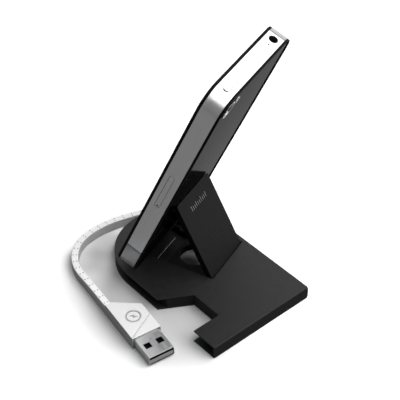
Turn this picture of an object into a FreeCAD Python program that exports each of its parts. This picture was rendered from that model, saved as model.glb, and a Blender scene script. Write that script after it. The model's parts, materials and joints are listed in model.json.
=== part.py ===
import FreeCAD, Part
import math
import os
import re

from FreeCAD import Placement, Rotation, Vector
import Sketcher

# A glass-fronted handset standing in its fold-flat card dock, with the dock's
# tethered plug lying beside it.  Millimetres, +Z up, origin at the middle of the
# card's underside, +X along the card towards its square end.

SIZES = {
    # card dock
    "card_length": 85.6,
    "card_width": 54.0,
    "sheet_thick": 0.7,
    "core_thick": 5.05,
    "channel_depth": 3.6,
    "notch_end": 29.7,
    "notch_depth": 13.75,
    "notch_floor_length": 15.9,
    "notch_mouth_length": 24.2,
    "arm_wall": 0.9,
    # where the handset's dock sits on the card, and how it is turned
    "dock_x": -14.74,
    "dock_y": -2.76,
    "dock_yaw": 20.38,
    "lean_angle": 23.94,
    "pivot_x": 1.08,
    "foot_gap": 1.0,
    "move_gap": 0.3,
    "seat_gap": 0.2,
    # recess, finger hole and flap
    "recess_width": 27.6,
    "recess_y": 0.9,
    "flap_thick": 2.8,
    "flap_gap": 0.345,
    "flap_pin_x": 38.73,
    "flap_angle": 64.0,
    "flap_pin_radius": 0.6,
    "flap_corner": 1.6,
    "pin_bite": 1.4,
    "finger_x": 24.2,
    "finger_radius": 7.0,
    "push_slot_x": 8.9,
    "push_slot_width": 0.6,
    "push_slot_length": 18.0,
    # connector block
    "block_thick": 2.6,
    "block_width": 24.0,
    "block_pin_radius": 0.6,
    "tongue_width": 21.0,
    "tongue_thick": 2.2,
    "tongue_length": 6.2,
    "tongue_wall": 0.3,
    "pad_width": 0.6,
    "pad_pitch": 1.3,
    "board_thick": 0.8,
    "board_x": -3.3,
    "board_y": -4.0,
    "board_width": 3.6,
    "board_length": 15.0,
    "wire_radius": 0.4,
    "wire_wall": 0.5,
    "gland_length": 3.8,
    "wire_gap": 0.1,
    "wire_exit": 3.0,
    "pin_gap": 0.1,
    "bar_inset": 0.6,
    "pad_inset": 0.3,
    "pad_thick": 0.15,
    # handset
    "body_width": 58.6,
    "body_length": 115.2,
    "body_thick": 9.3,
    "corner_radius": 8.8,
    "glass_thick": 1.0,
    "glass_inset": 0.3,
    "band_wall": 1.6,
    "gap_width": 1.0,
    "side_gap_height": 17.0,
    "top_gap_x": 7.7,
    "panel_thick": 1.9,
    "panel_side_gap": 1.4,
    "panel_bottom": 18.0,
    "panel_drop": 16.2,
    "plate_thick": 0.8,
    "plate_bottom": 7.8,
    "battery_near_gap": 4.1,
    "battery_far_gap": 2.1,
    "battery_bottom": 22.0,
    "battery_jack_gap": 4.8,
    "logic_width": 19.0,
    "logic_gap": 2.2,
    "logic_side_gap": 0.3,
    "glass_ease": 0.3,
    "chip_side": 10.0,
    "chip_thick": 0.9,
    "shell_gap": 0.15,
    "lens_x": 8.0,
    "lens_drop": 7.2,
    "lens_radius": 3.9,
    "lens_wall": 0.7,
    "flash_x": 15.2,
    "flash_radius": 1.5,
    "flash_side": 3.6,
    "camera_side": 7.6,
    "ear_drop": 10.6,
    "ear_length": 11.4,
    "ear_height": 1.7,
    "selfie_y": 10.4,
    "selfie_side": 4.6,
    "capsule_height": 5.0,
    "home_height": 9.7,
    "home_radius": 5.4,
    "home_thick": 1.1,
    "jack_x": 11.3,
    "jack_bore": 1.75,
    "jack_wall": 0.3,
    "jack_length": 14.4,
    "mic_x": 15.4,
    "mic_radius": 0.4,
    "power_x": 12.2,
    "power_length": 9.8,
    "power_thick": 2.5,
    "key_radius": 2.5,
    "key_proud": 0.6,
    "key_depth": 2.3,
    "key_travel": 0.4,
    "key_lip": 0.4,
    "power_lip": 0.5,
    "switch_deep": 2.2,
    "switch_long": 4.0,
    "switch_tall": 1.4,
    "switch_aside": 0.6,
    "volume_up_drop": 26.2,
    "volume_down_drop": 36.4,
    "mute_drop": 15.8,
    "mute_length": 5.4,
    "mute_thick": 1.5,
    "mute_travel": 1.6,
    "tray_bottom": 47.9,
    "tray_length": 20.6,
    "tray_thick": 3.0,
    "tray_depth": 17.0,
    "tray_x": 4.4,
    "tray_plate": 1.0,
    "tray_face": 1.4,
    "sim_length": 15.0,
    "sim_width": 12.0,
    "sim_thick": 0.76,
    "pinhole_radius": 0.45,
    "port_width": 22.6,
    "port_thick": 3.2,
    "port_wall": 0.4,
    "port_depth": 7.2,
    "screw_y": 13.9,
    "screw_radius": 0.85,
    "screw_length": 3.6,
    "grille_width": 9.6,
    "grille_run": 6.4,
    "grille_height": 1.8,
    "grille_y": 20.6,
    "voice_width": 11.0,
    "voice_height": 13.0,
    "motor_radius": 1.8,
    "motor_length": 9.0,
    # tethered plug and its flat lead
    "plug_x": 17.45,
    "plug_y": -42.3,
    "plug_heading": -8.0,
    "mould_length": 23.5,
    "mould_width": 13.7,
    "mould_short": 15.7,
    "mould_thick": 6.4,
    "lead_thick": 3.1,
    "lead_width": 4.85,
    "usb_width": 12.0,
    "usb_thick": 4.5,
    "usb_length": 12.3,
    "usb_root": 5.0,
    "usb_wall": 0.35,
    "usb_window": 2.3,
    "usb_window_y": 2.9,
    "usb_window_from": 5.2,
    "insulator_thick": 2.5,
    "contact_width": 1.0,
    "contact_pitch": 2.4,
    "strip_inset": 1.6,
    "pad_thick": 0.15,
    "emblem_x": -11.0,
    "emblem_radius": 3.6,
    "emblem_depth": 0.3,
}

doc = FreeCAD.newDocument("DockedHandset")
sheet = doc.addObject("Spreadsheet::Sheet", "Sizes")
for row, (alias, number) in enumerate(SIZES.items(), start=1):
    sheet.set("A%d" % row, alias)
    sheet.set("B%d" % row, str(number))
    sheet.setAlias("B%d" % row, alias)
doc.recompute()


def linked(text):
    """Point every size name in an expression at the sheet."""
    return re.sub(r"\b([a-z]+(?:_[a-z]+)+)\b", r"Sizes.\1", str(text))


def value(text):
    return float(sheet.evalExpression(linked(text)))


def bind(thing, **properties):
    for name, text in properties.items():
        thing.setExpression(name.replace("__", "."), linked(text))
    return thing


# ---------------------------------------------------------------- places

CARD_PLACE = Placement()
ROUND_X = "(card_width / 2 - card_length / 2)"
DOCK_PLACE = Placement(
    Vector(value(ROUND_X + " + dock_x"), value("dock_y"), 0), Rotation(Vector(0, 0, 1), value("dock_yaw"))
)
PIVOT_HEIGHT = "(sheet_thick + seat_gap + block_thick / 2)"
TOP_HEIGHT = "(2 * sheet_thick + core_thick)"
FLAP_PIN_HEIGHT = "(%s - flap_thick / 2)" % TOP_HEIGHT
LEAN_COS, LEAN_SIN = "cos(lean_angle * 1 deg)", "sin(lean_angle * 1 deg)"
# the handset's foot clears the card, and the flap's end stops just short of the handset's back
FOOT_REACH = "((%s - %s + foot_gap + body_thick / 2 * %s) / %s)" % (
    TOP_HEIGHT, PIVOT_HEIGHT, LEAN_SIN, LEAN_COS,
)
PIN_TO_BACK = "((flap_pin_x - pivot_x) * %s - (%s - %s) * %s - body_thick / 2 - flap_gap)" % (
    LEAN_COS, FLAP_PIN_HEIGHT, PIVOT_HEIGHT, LEAN_SIN,
)
FLAP_TURN = "((flap_angle - lean_angle) * 1 deg)"
FLAP_REACH = "((%s + flap_thick / 2 * sin(%s)) / cos(%s))" % (PIN_TO_BACK, FLAP_TURN, FLAP_TURN)
RECESS_FLOOR = "(%s - flap_thick - seat_gap)" % TOP_HEIGHT
BLOCK_PLACE = DOCK_PLACE * Placement(
    Vector(value("pivot_x"), 0, value(PIVOT_HEIGHT)), Rotation(Vector(0, 1, 0), value("lean_angle"))
)
HANDSET_PLACE = BLOCK_PLACE * Placement(Vector(-value("body_thick") / 2, 0, value(FOOT_REACH)), Rotation())
FLAP_PLACE = DOCK_PLACE * Placement(
    Vector(value("flap_pin_x"), value("recess_y"), value(FLAP_PIN_HEIGHT)),
    Rotation(Vector(0, 1, 0), value("flap_angle")) * Rotation(Vector(0, 0, 1), 180),
)
PLUG_PLACE = Placement(
    Vector(value("plug_x"), value("plug_y"), 0), Rotation(Vector(0, 0, 1), value("plug_heading"))
)

pieces = []


def finish(thing, label, place=CARD_PLACE):
    """Name a finished sub-part, set it in its place and list it for export."""
    if thing.TypeId in ("Part::Box", "Part::Cylinder"):
        thing = together(thing.Name + "_set", [thing])
    thing.Label = label
    thing.Placement = place
    pieces.append(thing)
    return thing


# ---------------------------------------------------------------- solids

AXIS_TURNS = {
    "x": Rotation(Vector(0, 1, 0), 90),
    "y": Rotation(Vector(1, 0, 0), -90),
    "z": Rotation(),
}


def box(name, size, corner):
    """Box from its three lengths and its lowest corner."""
    solid = doc.addObject("Part::Box", name)
    bind(solid, Length=size[0], Width=size[1], Height=size[2])
    bind(solid, Placement__Base__x=corner[0], Placement__Base__y=corner[1], Placement__Base__z=corner[2])
    return solid


def rod(name, radius, length, foot, axis="z"):
    """Cylinder from the middle of its foot, along one axis."""
    solid = doc.addObject("Part::Cylinder", name)
    bind(solid, Radius=radius, Height=length)
    solid.Placement = Placement(Vector(), AXIS_TURNS[axis])
    bind(solid, Placement__Base__x=foot[0], Placement__Base__y=foot[1], Placement__Base__z=foot[2])
    return solid


def joined(name, solids):
    union = doc.addObject("Part::MultiFuse", name)
    union.Shapes = solids
    return union


def together(name, solids):
    """Separate solids kept as one group."""
    group = doc.addObject("Part::Compound", name)
    group.Links = solids
    return group


def cut(name, base, tools):
    result = doc.addObject("Part::Cut", name)
    result.Base = base
    result.Tool = tools[0] if len(tools) == 1 else joined(name + "_tools", tools)
    return result


def common(name, base, tool):
    result = doc.addObject("Part::Common", name)
    result.Base = base
    result.Tool = tool
    return result


def eased(name, base, edges, radius):
    """Round chosen edges, picked by a test on each edge's shape."""
    doc.recompute()
    chosen = [i + 1 for i, edge in enumerate(base.Shape.Edges) if edges(edge)]
    result = doc.addObject("Part::Fillet", name)
    result.Base = base
    result.Edges = [(i, value(radius), value(radius)) for i in chosen]
    return result


# ---------------------------------------------------------------- sketches


def plane_of(body, role):
    return [feature for feature in body.Origin.OriginFeatures if feature.Role == role][0]


def new_sketch(body, name, role="XY_Plane", lift="0", turn=None):
    """Sketch on one of the body's own planes, lifted along its normal."""
    sketch = body.newObject("Sketcher::SketchObject", name)
    sketch.AttachmentSupport = [(plane_of(body, role), "")]
    sketch.MapMode = "FlatFace"
    if turn is not None:
        sketch.AttachmentOffset = turn
    sketch.setExpression("AttachmentOffset.Base.z", linked(lift))
    return sketch


def pin_point(sketch, geometry, position, axis, text):
    """Fix one coordinate of a point to an expression."""
    kind = "DistanceX" if axis == "x" else "DistanceY"
    number = value(text)
    index = sketch.addConstraint(Sketcher.Constraint(kind, -1, 1, geometry, position, number))
    sketch.setExpression("Constraints[%d]" % index, linked(text))


def draw_loop(sketch, corners, arcs=None):
    """Closed outline through corners; arcs maps a side's number to its centre and turning sense."""
    arcs = arcs or {}
    points = [Vector(value(x), value(y), 0) for x, y in corners]
    count = len(points)
    first = sketch.GeometryCount
    ends = []
    for i in range(count):
        start, end = points[i], points[(i + 1) % count]
        if i not in arcs:
            sketch.addGeometry(Part.LineSegment(start, end), False)
            ends.append((1, 2))
            continue
        centre = Vector(value(arcs[i][0]), value(arcs[i][1]), 0)
        left_turn = arcs[i][2] == "left"
        low, high = (start, end) if left_turn else (end, start)
        circle = Part.Circle(centre, Vector(0, 0, 1), (start - centre).Length)
        from_angle = math.atan2(low.y - centre.y, low.x - centre.x)
        to_angle = math.atan2(high.y - centre.y, high.x - centre.x)
        sketch.addGeometry(Part.ArcOfCircle(circle, from_angle, to_angle), False)
        ends.append((1, 2) if left_turn else (2, 1))
        axis = "x" if abs(end.y - start.y) >= abs(end.x - start.x) else "y"
        pin_point(sketch, first + i, 3, axis, arcs[i][0 if axis == "x" else 1])
    for i, (x, y) in enumerate(corners):
        after = (i + 1) % count
        joint = Sketcher.Constraint("Coincident", first + i, ends[i][1], first + after, ends[after][0])
        sketch.addConstraint(joint)
        pin_point(sketch, first + i, ends[i][0], "x", x)
        pin_point(sketch, first + i, ends[i][0], "y", y)


def draw_rounded(sketch, left, right, low, high, radius):
    """Rectangle with four equal round corners."""
    l_in, r_in = "(%s + (%s))" % (left, radius), "(%s - (%s))" % (right, radius)
    b_in, t_in = "(%s + (%s))" % (low, radius), "(%s - (%s))" % (high, radius)
    corners = [
        (l_in, low), (r_in, low), (right, b_in), (right, t_in),
        (r_in, high), (l_in, high), (left, t_in), (left, b_in),
    ]
    arcs = {
        1: (r_in, b_in, "left"), 3: (r_in, t_in, "left"),
        5: (l_in, t_in, "left"), 7: (l_in, b_in, "left"),
    }
    draw_loop(sketch, corners, arcs)


def draw_rect(sketch, left, right, low, high):
    draw_loop(sketch, [(left, low), (right, low), (right, high), (left, high)])


def draw_circle(sketch, x, y, radius):
    centre = Vector(value(x), value(y), 0)
    index = sketch.addGeometry(Part.Circle(centre, Vector(0, 0, 1), value(radius)), False)
    pin_point(sketch, index, 3, "x", x)
    pin_point(sketch, index, 3, "y", y)
    size = sketch.addConstraint(Sketcher.Constraint("Radius", index, value(radius)))
    sketch.setExpression("Constraints[%d]" % size, linked(radius))


def pad(body, sketch, length, both=False):
    feature = body.newObject("PartDesign::Pad", sketch.Name + "_pad")
    feature.Profile = sketch
    feature.Midplane = both
    bind(feature, Length=length)
    body.Tip = feature
    return feature


def pocket(body, sketch, length, upward=False):
    """Cut a sketch's shape away, down from its plane or up from it."""
    feature = body.newObject("PartDesign::Pocket", sketch.Name + "_cut")
    feature.Profile = sketch
    feature.Reversed = upward
    bind(feature, Length=length)
    body.Tip = feature
    return feature


def new_body(name):
    return doc.addObject("PartDesign::Body", name)


# ---------------------------------------------------------------- card sheets and core

HALF_LENGTH = "card_length / 2"
HALF_WIDTH = "card_width / 2"
NOTCH_MOUTH = "(notch_end - notch_mouth_length)"
NOTCH_FLOOR = "(notch_end - notch_floor_length)"
NOTCH_TOP = "(notch_depth - card_width / 2)"
CHANNEL_LOW = "(channel_depth - card_width / 2)"
CHANNEL_HIGH = "(card_width / 2 - channel_depth)"
WIRE_RING = "(card_width / 2 - channel_depth - wire_wall - wire_gap - wire_radius)"
GLAND_X = "(card_width / 2 - card_length / 2 + gland_length)"
CORE_TOP = "(sheet_thick + core_thick)"

RECESS_FROM = "(flap_pin_x - %s - move_gap)" % FLAP_REACH
RECESS_TO = "(flap_pin_x + flap_thick / 2 + move_gap)"
SLOT_FROM = "(pivot_x - block_thick / 2 - move_gap)"
SLOT_TO = "(pivot_x + %s + 2 * move_gap)" % FOOT_REACH
TONGUE_TO = "(pivot_x + %s + tongue_length + 2 * move_gap)" % FOOT_REACH
SLOT_HALF = "(block_width / 2 + move_gap)"
RECESS_NEAR = "(recess_y - recess_width / 2)"
RECESS_FAR = "(recess_y + recess_width / 2)"
FLAP_PIN_LENGTH = "(recess_width + 2 * pin_bite)"
BLOCK_PIN_LENGTH = "(block_width + 2 * move_gap + 2 * pin_bite)"


def draw_card(sketch):
    """Card outline: one end a half circle, the near edge notched for the plug."""
    low = "-card_width / 2"
    corners = [
        (ROUND_X, low), (NOTCH_MOUTH, low), (NOTCH_FLOOR, NOTCH_TOP), ("notch_end", NOTCH_TOP),
        ("notch_end", low), (HALF_LENGTH, low), (HALF_LENGTH, HALF_WIDTH), (ROUND_X, HALF_WIDTH),
    ]
    draw_loop(sketch, corners, {7: (ROUND_X, "0", "left")})


def draw_core(sketch):
    """Card outline with the lead's channel and the plug's pocket left open."""
    channel_run = "(notch_mouth_length - notch_floor_length) * channel_depth / notch_depth"
    channel_end = "(%s + %s)" % (NOTCH_MOUTH, channel_run)
    arm_inside = "(card_length / 2 - arm_wall)"
    corners = [
        (ROUND_X, CHANNEL_LOW), (channel_end, CHANNEL_LOW), (NOTCH_FLOOR, NOTCH_TOP),
        (arm_inside, NOTCH_TOP), (arm_inside, "-card_width / 2"), (HALF_LENGTH, "-card_width / 2"),
        (HALF_LENGTH, HALF_WIDTH), (GLAND_X, HALF_WIDTH), (GLAND_X, CHANNEL_HIGH), (ROUND_X, CHANNEL_HIGH),
    ]
    draw_loop(sketch, corners, {9: (ROUND_X, "0", "left")})


def make_bottom_sheet():
    body = new_body("bottom_sheet_body")
    outline = new_sketch(body, "bottom_outline")
    draw_card(outline)
    pad(body, outline, "sheet_thick")
    holes = new_sketch(body, "bottom_holes", turn=DOCK_PLACE)
    draw_circle(holes, "finger_x", "0", "finger_radius")
    draw_rect(
        holes, "push_slot_x - push_slot_width / 2", "push_slot_x + push_slot_width / 2",
        "-push_slot_length / 2", "push_slot_length / 2",
    )
    pocket(body, holes, "sheet_thick", upward=True)
    return finish(body, "bottom_sheet")


def make_top_sheet():
    body = new_body("top_sheet_body")
    outline = new_sketch(body, "top_outline", lift=CORE_TOP)
    draw_card(outline)
    pad(body, outline, "sheet_thick")
    window = new_sketch(body, "top_window", lift=CORE_TOP, turn=DOCK_PLACE)
    corners = [
        (SLOT_FROM, "-" + SLOT_HALF), (RECESS_FROM, "-" + SLOT_HALF), (RECESS_FROM, RECESS_NEAR),
        (RECESS_TO, RECESS_NEAR), (RECESS_TO, RECESS_FAR), (RECESS_FROM, RECESS_FAR),
        (RECESS_FROM, SLOT_HALF), (SLOT_FROM, SLOT_HALF),
    ]
    draw_loop(window, corners)
    pocket(body, window, "sheet_thick", upward=True)
    return finish(body, "top_sheet")


def make_base_core():
    body = new_body("core_body")
    outline = new_sketch(body, "core_outline", lift="sheet_thick")
    draw_core(outline)
    pad(body, outline, "core_thick")
    recess = new_sketch(body, "core_recess", lift=RECESS_FLOOR, turn=DOCK_PLACE)
    draw_rect(recess, RECESS_FROM, RECESS_TO, RECESS_NEAR, RECESS_FAR)
    pocket(body, recess, "%s - %s" % (CORE_TOP, RECESS_FLOOR), upward=True)
    slot = new_sketch(body, "core_slot", lift="sheet_thick", turn=DOCK_PLACE)
    tongue_half = "(tongue_width / 2 + move_gap)"
    corners = [
        (SLOT_FROM, "-" + SLOT_HALF), (SLOT_TO, "-" + SLOT_HALF), (SLOT_TO, "-" + tongue_half),
        (TONGUE_TO, "-" + tongue_half), (TONGUE_TO, tongue_half), (SLOT_TO, tongue_half),
        (SLOT_TO, SLOT_HALF), (SLOT_FROM, SLOT_HALF),
    ]
    draw_loop(slot, corners)
    draw_circle(slot, "finger_x", "0", "finger_radius")
    pocket(body, slot, "core_thick", upward=True)
    bay = new_sketch(body, "board_bay", lift="sheet_thick", turn=DOCK_PLACE)
    draw_rect(
        bay, "board_x - board_width / 2 - seat_gap", "board_x + board_width / 2 + seat_gap",
        "board_y - board_length / 2 - seat_gap", "board_y + board_length / 2 + wire_exit",
    )
    pocket(body, bay, "core_thick / 2", upward=True)
    groove = new_sketch(body, "wire_groove", lift="sheet_thick")
    inside, outside = "(%s - wire_radius - wire_gap)" % WIRE_RING, "(%s + wire_radius + wire_gap)" % WIRE_RING
    end_from, end_to = "(%s + gland_length / 4)" % ROUND_X, "(%s + gland_length * 3 / 4)" % ROUND_X
    corners = [
        ("(%s - %s)" % (ROUND_X, outside), "0"), ("(%s - %s)" % (ROUND_X, inside), "0"), (ROUND_X, inside),
        (end_to, inside), (end_to, CHANNEL_HIGH), (end_from, CHANNEL_HIGH), (end_from, outside),
        (ROUND_X, outside),
    ]
    draw_loop(groove, corners, {1: (ROUND_X, "0", "right"), 7: (ROUND_X, "0", "left")})
    pocket(body, groove, "5 * wire_radius", upward=True)
    flap_at = ("flap_pin_x", RECESS_NEAR + " - pin_bite", FLAP_PIN_HEIGHT)
    flap_bore = rod("flap_bore", "flap_pin_radius", FLAP_PIN_LENGTH, flap_at, "y")
    block_at = ("pivot_x", "-%s / 2" % BLOCK_PIN_LENGTH, PIVOT_HEIGHT)
    block_bore = rod("block_bore", "block_pin_radius", BLOCK_PIN_LENGTH, block_at, "y")
    bores = together("core_bores", [flap_bore, block_bore])
    bores.Placement = DOCK_PLACE
    return finish(cut("core_drilled", body, [bores]), "base_core")


def make_gland():
    gland = box(
        "gland_block", ("gland_length", "channel_depth", "core_thick"), (ROUND_X, CHANNEL_HIGH, "sheet_thick")
    )
    return finish(gland, "cable_gland")


def make_wires():
    """Two leads, one above the other, from the board's bay round to the gland."""
    wires = []
    end_x = "(%s + gland_length / 2)" % ROUND_X
    for i, lift in enumerate(("sheet_thick + wire_radius", "sheet_thick + 3 * wire_radius + wire_gap")):
        ring = doc.addObject("Part::Torus", "wire_bend_%d" % i)
        bind(ring, Radius1=WIRE_RING, Radius2="wire_radius", Angle3="90")
        ring.Placement = Placement(Vector(), Rotation(Vector(0, 0, 1), 90))
        bind(ring, Placement__Base__x=ROUND_X, Placement__Base__z=lift)
        across = rod("wire_run_%d" % i, "wire_radius", "gland_length / 2", (ROUND_X, WIRE_RING, lift), "x")
        reach = "%s - %s" % (CHANNEL_HIGH, WIRE_RING)
        inward = rod("wire_end_%d" % i, "wire_radius", reach, (end_x, WIRE_RING, lift), "y")
        corner = doc.addObject("Part::Sphere", "wire_corner_%d" % i)
        bind(corner, Radius="wire_radius", Placement__Base__x=end_x)
        bind(corner, Placement__Base__y=WIRE_RING, Placement__Base__z=lift)
        wires.append(joined("wire_%d" % i, [ring, across, corner, inward]))
    return finish(together("wire_pair", wires), "dock_wires")


def make_board():
    low_x, low_y = "board_x - board_width / 2", "board_y - board_length / 2"
    board = box("board_plate", ("board_width", "board_length", "board_thick"), (low_x, low_y, "sheet_thick"))
    chip = box(
        "board_chip", ("board_width / 2", "board_width", "board_thick"),
        ("board_x - board_width / 4", "board_y", "sheet_thick + board_thick"),
    )
    return finish(joined("board_with_chip", [board, chip]), "dock_board", DOCK_PLACE)


# ---------------------------------------------------------------- flap, connector block and their pins


def make_pin(label, radius, length, x, height, middle="0"):
    pin = rod(label + "_rod", radius, length, (x, "%s - (%s) / 2" % (middle, length), height), "y")
    return finish(pin, label, DOCK_PLACE)


def make_flap():
    """Plate on its pin at x = 0; its free end is cut to lie along the handset's back."""
    body = new_body("flap_body")
    side = new_sketch(body, "flap_side", "XZ_Plane")
    half = "(flap_thick / 2)"
    bevel = "(flap_thick / tan((90 - flap_angle + lean_angle) * 1 deg))"
    inner_end = "(%s - %s)" % (FLAP_REACH, bevel)
    corners = [("0", "-" + half), (inner_end, "-" + half), (FLAP_REACH, half), ("0", half)]
    draw_loop(side, corners, {3: ("0", "0", "left")})
    pad(body, side, "recess_width - 2 * move_gap", both=True)
    bore_from = ("0", "-recess_width / 2", "0")
    bore = rod("flap_pin_hole", "flap_pin_radius + pin_gap", "recess_width", bore_from, "y")
    drilled = cut("flap_drilled", body, [bore])
    tip = value(FLAP_REACH)
    width = value("recess_width") / 2 - value("move_gap")

    def at_tip_corner(edge):
        middle = edge.CenterOfMass
        across_thickness = edge.Length < 2 * value("flap_thick")
        return abs(abs(middle.y) - width) < 0.01 and middle.x > tip / 2 and across_thickness

    return finish(eased("flap_eased", drilled, at_tip_corner, "flap_corner"), "flap", FLAP_PLACE)


BLOCK_TOP = "(%s - seat_gap)" % FOOT_REACH


def make_block():
    """Connector block on its pivot: round foot, flat top under the handset."""
    body = new_body("block_body")
    side = new_sketch(body, "block_side", "XZ_Plane")
    half = "(block_thick / 2)"
    top = BLOCK_TOP
    draw_loop(side, [(half, "0"), (half, top), ("-" + half, top), ("-" + half, "0")], {3: ("0", "0", "left")})
    pad(body, side, "block_width", both=True)
    bore_from = ("0", "-recess_width / 2", "0")
    bore = rod("block_pin_hole", "block_pin_radius + pin_gap", "recess_width", bore_from, "y")
    return finish(cut("block_drilled", body, [bore]), "connector_block", BLOCK_PLACE)


def make_tongue():
    low = ("-tongue_thick / 2", "-tongue_width / 2", BLOCK_TOP)
    outer = box("tongue_outside", ("tongue_thick", "tongue_width", "tongue_length"), low)
    inner_size = ("tongue_thick - 2 * tongue_wall", "tongue_width - 2 * tongue_wall", "tongue_length")
    inner_low = ("tongue_wall - tongue_thick / 2", "tongue_wall - tongue_width / 2", BLOCK_TOP)
    hollow = box("tongue_hollow", inner_size, inner_low)
    finish(cut("tongue_tube", outer, [hollow]), "connector_shell", BLOCK_PLACE)
    bar_size = ("(tongue_thick - 2 * tongue_wall) / 2", inner_size[1], "tongue_length - bar_inset")
    bar = box("tongue_bar", bar_size, inner_low)
    finish(bar, "connector_insulator", BLOCK_PLACE)
    pads = []
    for i in range(-7, 8):
        pads.append(
            box(
                "tongue_pad_%d" % (i + 7), ("pad_thick", "pad_width", "tongue_length - 4 * pad_inset"),
                ("0", "%d * pad_pitch - pad_width / 2" % i, BLOCK_TOP + " + pad_inset"),
            )
        )
    finish(together("tongue_pads", pads), "connector_contacts", BLOCK_PLACE)


# ---------------------------------------------------------------- handset shell

HALF_BODY = "(body_width / 2)"
BAND_FROM = "glass_thick"
BAND_TO = "(body_thick - glass_thick)"
BAND_DEPTH = "(body_thick - 2 * glass_thick)"
MIDDLE_X = "(body_thick / 2)"
INNER_HALF = "(body_width / 2 - band_wall)"
INNER_TOP = "(body_length - band_wall)"
PLATE_FROM = "(glass_thick + panel_thick)"
PLATE_TO = "(glass_thick + panel_thick + plate_thick)"
LENS_Y = "(lens_x - body_width / 2)"
LENS_Z = "(body_length - lens_drop)"
FLASH_Y = "(flash_x - body_width / 2)"
JACK_Y = "(body_width / 2 - jack_x)"
MIC_Y = "(body_width / 2 - mic_x)"
POWER_Y = "(power_x - body_width / 2)"
MUTE_Z = "(body_length - mute_drop)"
VOLUME_HEIGHTS = {
    "volume_up_button": "(body_length - volume_up_drop)",
    "volume_down_button": "(body_length - volume_down_drop)",
}
FLANGE = "0.5"
POWER_FOOT = "(body_length - band_wall - 2 * shell_gap)"
POWER_STOP = "(%s - %s - key_travel - shell_gap)" % (POWER_FOOT, FLANGE)


def slab(name, inset, low, lift, thick):
    """Round-cornered slab across the handset, starting at one depth from its face."""
    body = new_body(name)
    outline = new_sketch(body, name + "_outline", "YZ_Plane", lift)
    half = "(body_width / 2 - %s)" % inset
    draw_rounded(outline, "-" + half, half, low, "body_length - %s" % inset, "corner_radius - %s" % inset)
    pad(body, outline, thick)
    return body


def hole_sketch(body, name, lift):
    return new_sketch(body, name, "YZ_Plane", lift)


def outer_rim(depth):
    """Test for the edges round a glass panel's outer face."""

    def test(edge):
        box_ = edge.BoundBox
        return abs(box_.XMin - depth) < 0.01 and abs(box_.XMax - depth) < 0.01 and at_border(edge)

    def at_border(edge):
        middle = edge.valueAt((edge.FirstParameter + edge.LastParameter) / 2)
        half = value(HALF_BODY) - value("corner_radius")
        outside = abs(middle.y) > half or middle.z < value("corner_radius")
        return outside and distance_inside(middle) < value("glass_inset") + 0.05

    def distance_inside(point):
        """How far a point lies inside the handset's outline."""
        radius = value("corner_radius")
        half = value(HALF_BODY)
        length = value("body_length")
        across = abs(point.y) - (half - radius)
        along = abs(point.z - length / 2) - (length / 2 - radius)
        if across > 0 and along > 0:
            return radius - math.hypot(across, along)
        return radius - max(across, along)

    return test


def make_front_glass():
    body = slab("front_glass_body", "glass_inset", "glass_inset", "0", "glass_thick")
    holes = hole_sketch(body, "front_holes", "0")
    draw_circle(holes, "0", "home_height", "home_radius + seat_gap")
    low, high = "(body_length - ear_drop - ear_height / 2)", "(body_length - ear_drop + ear_height / 2)"
    draw_rounded(holes, "-ear_length / 2", "ear_length / 2", low, high, "ear_height / 2 - 0.05")
    pocket(body, holes, "glass_thick", upward=True)
    return finish(eased("front_glass_eased", body, outer_rim(0), "glass_ease"), "front_glass", HANDSET_PLACE)


def make_back_glass():
    body = slab("back_glass_body", "glass_inset", "glass_inset", BAND_TO, "glass_thick")
    holes = hole_sketch(body, "back_holes", BAND_TO)
    draw_circle(holes, LENS_Y, LENS_Z, "lens_radius")
    draw_circle(holes, FLASH_Y, LENS_Z, "flash_radius")
    pocket(body, holes, "glass_thick", upward=True)
    rim = outer_rim(value("body_thick"))
    return finish(eased("back_glass_eased", body, rim, "glass_ease"), "back_glass", HANDSET_PLACE)


def middle_box(name, half_x, y_range, z_range, centre=MIDDLE_X):
    """Box centred at one depth, between two widths and two heights."""
    size = (
        "2 * (%s)" % half_x, "(%s) - (%s)" % (y_range[1], y_range[0]),
        "(%s) - (%s)" % (z_range[1], z_range[0]),
    )
    return box(name, size, ("%s - (%s)" % (centre, half_x), y_range[0], z_range[0]))


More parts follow.
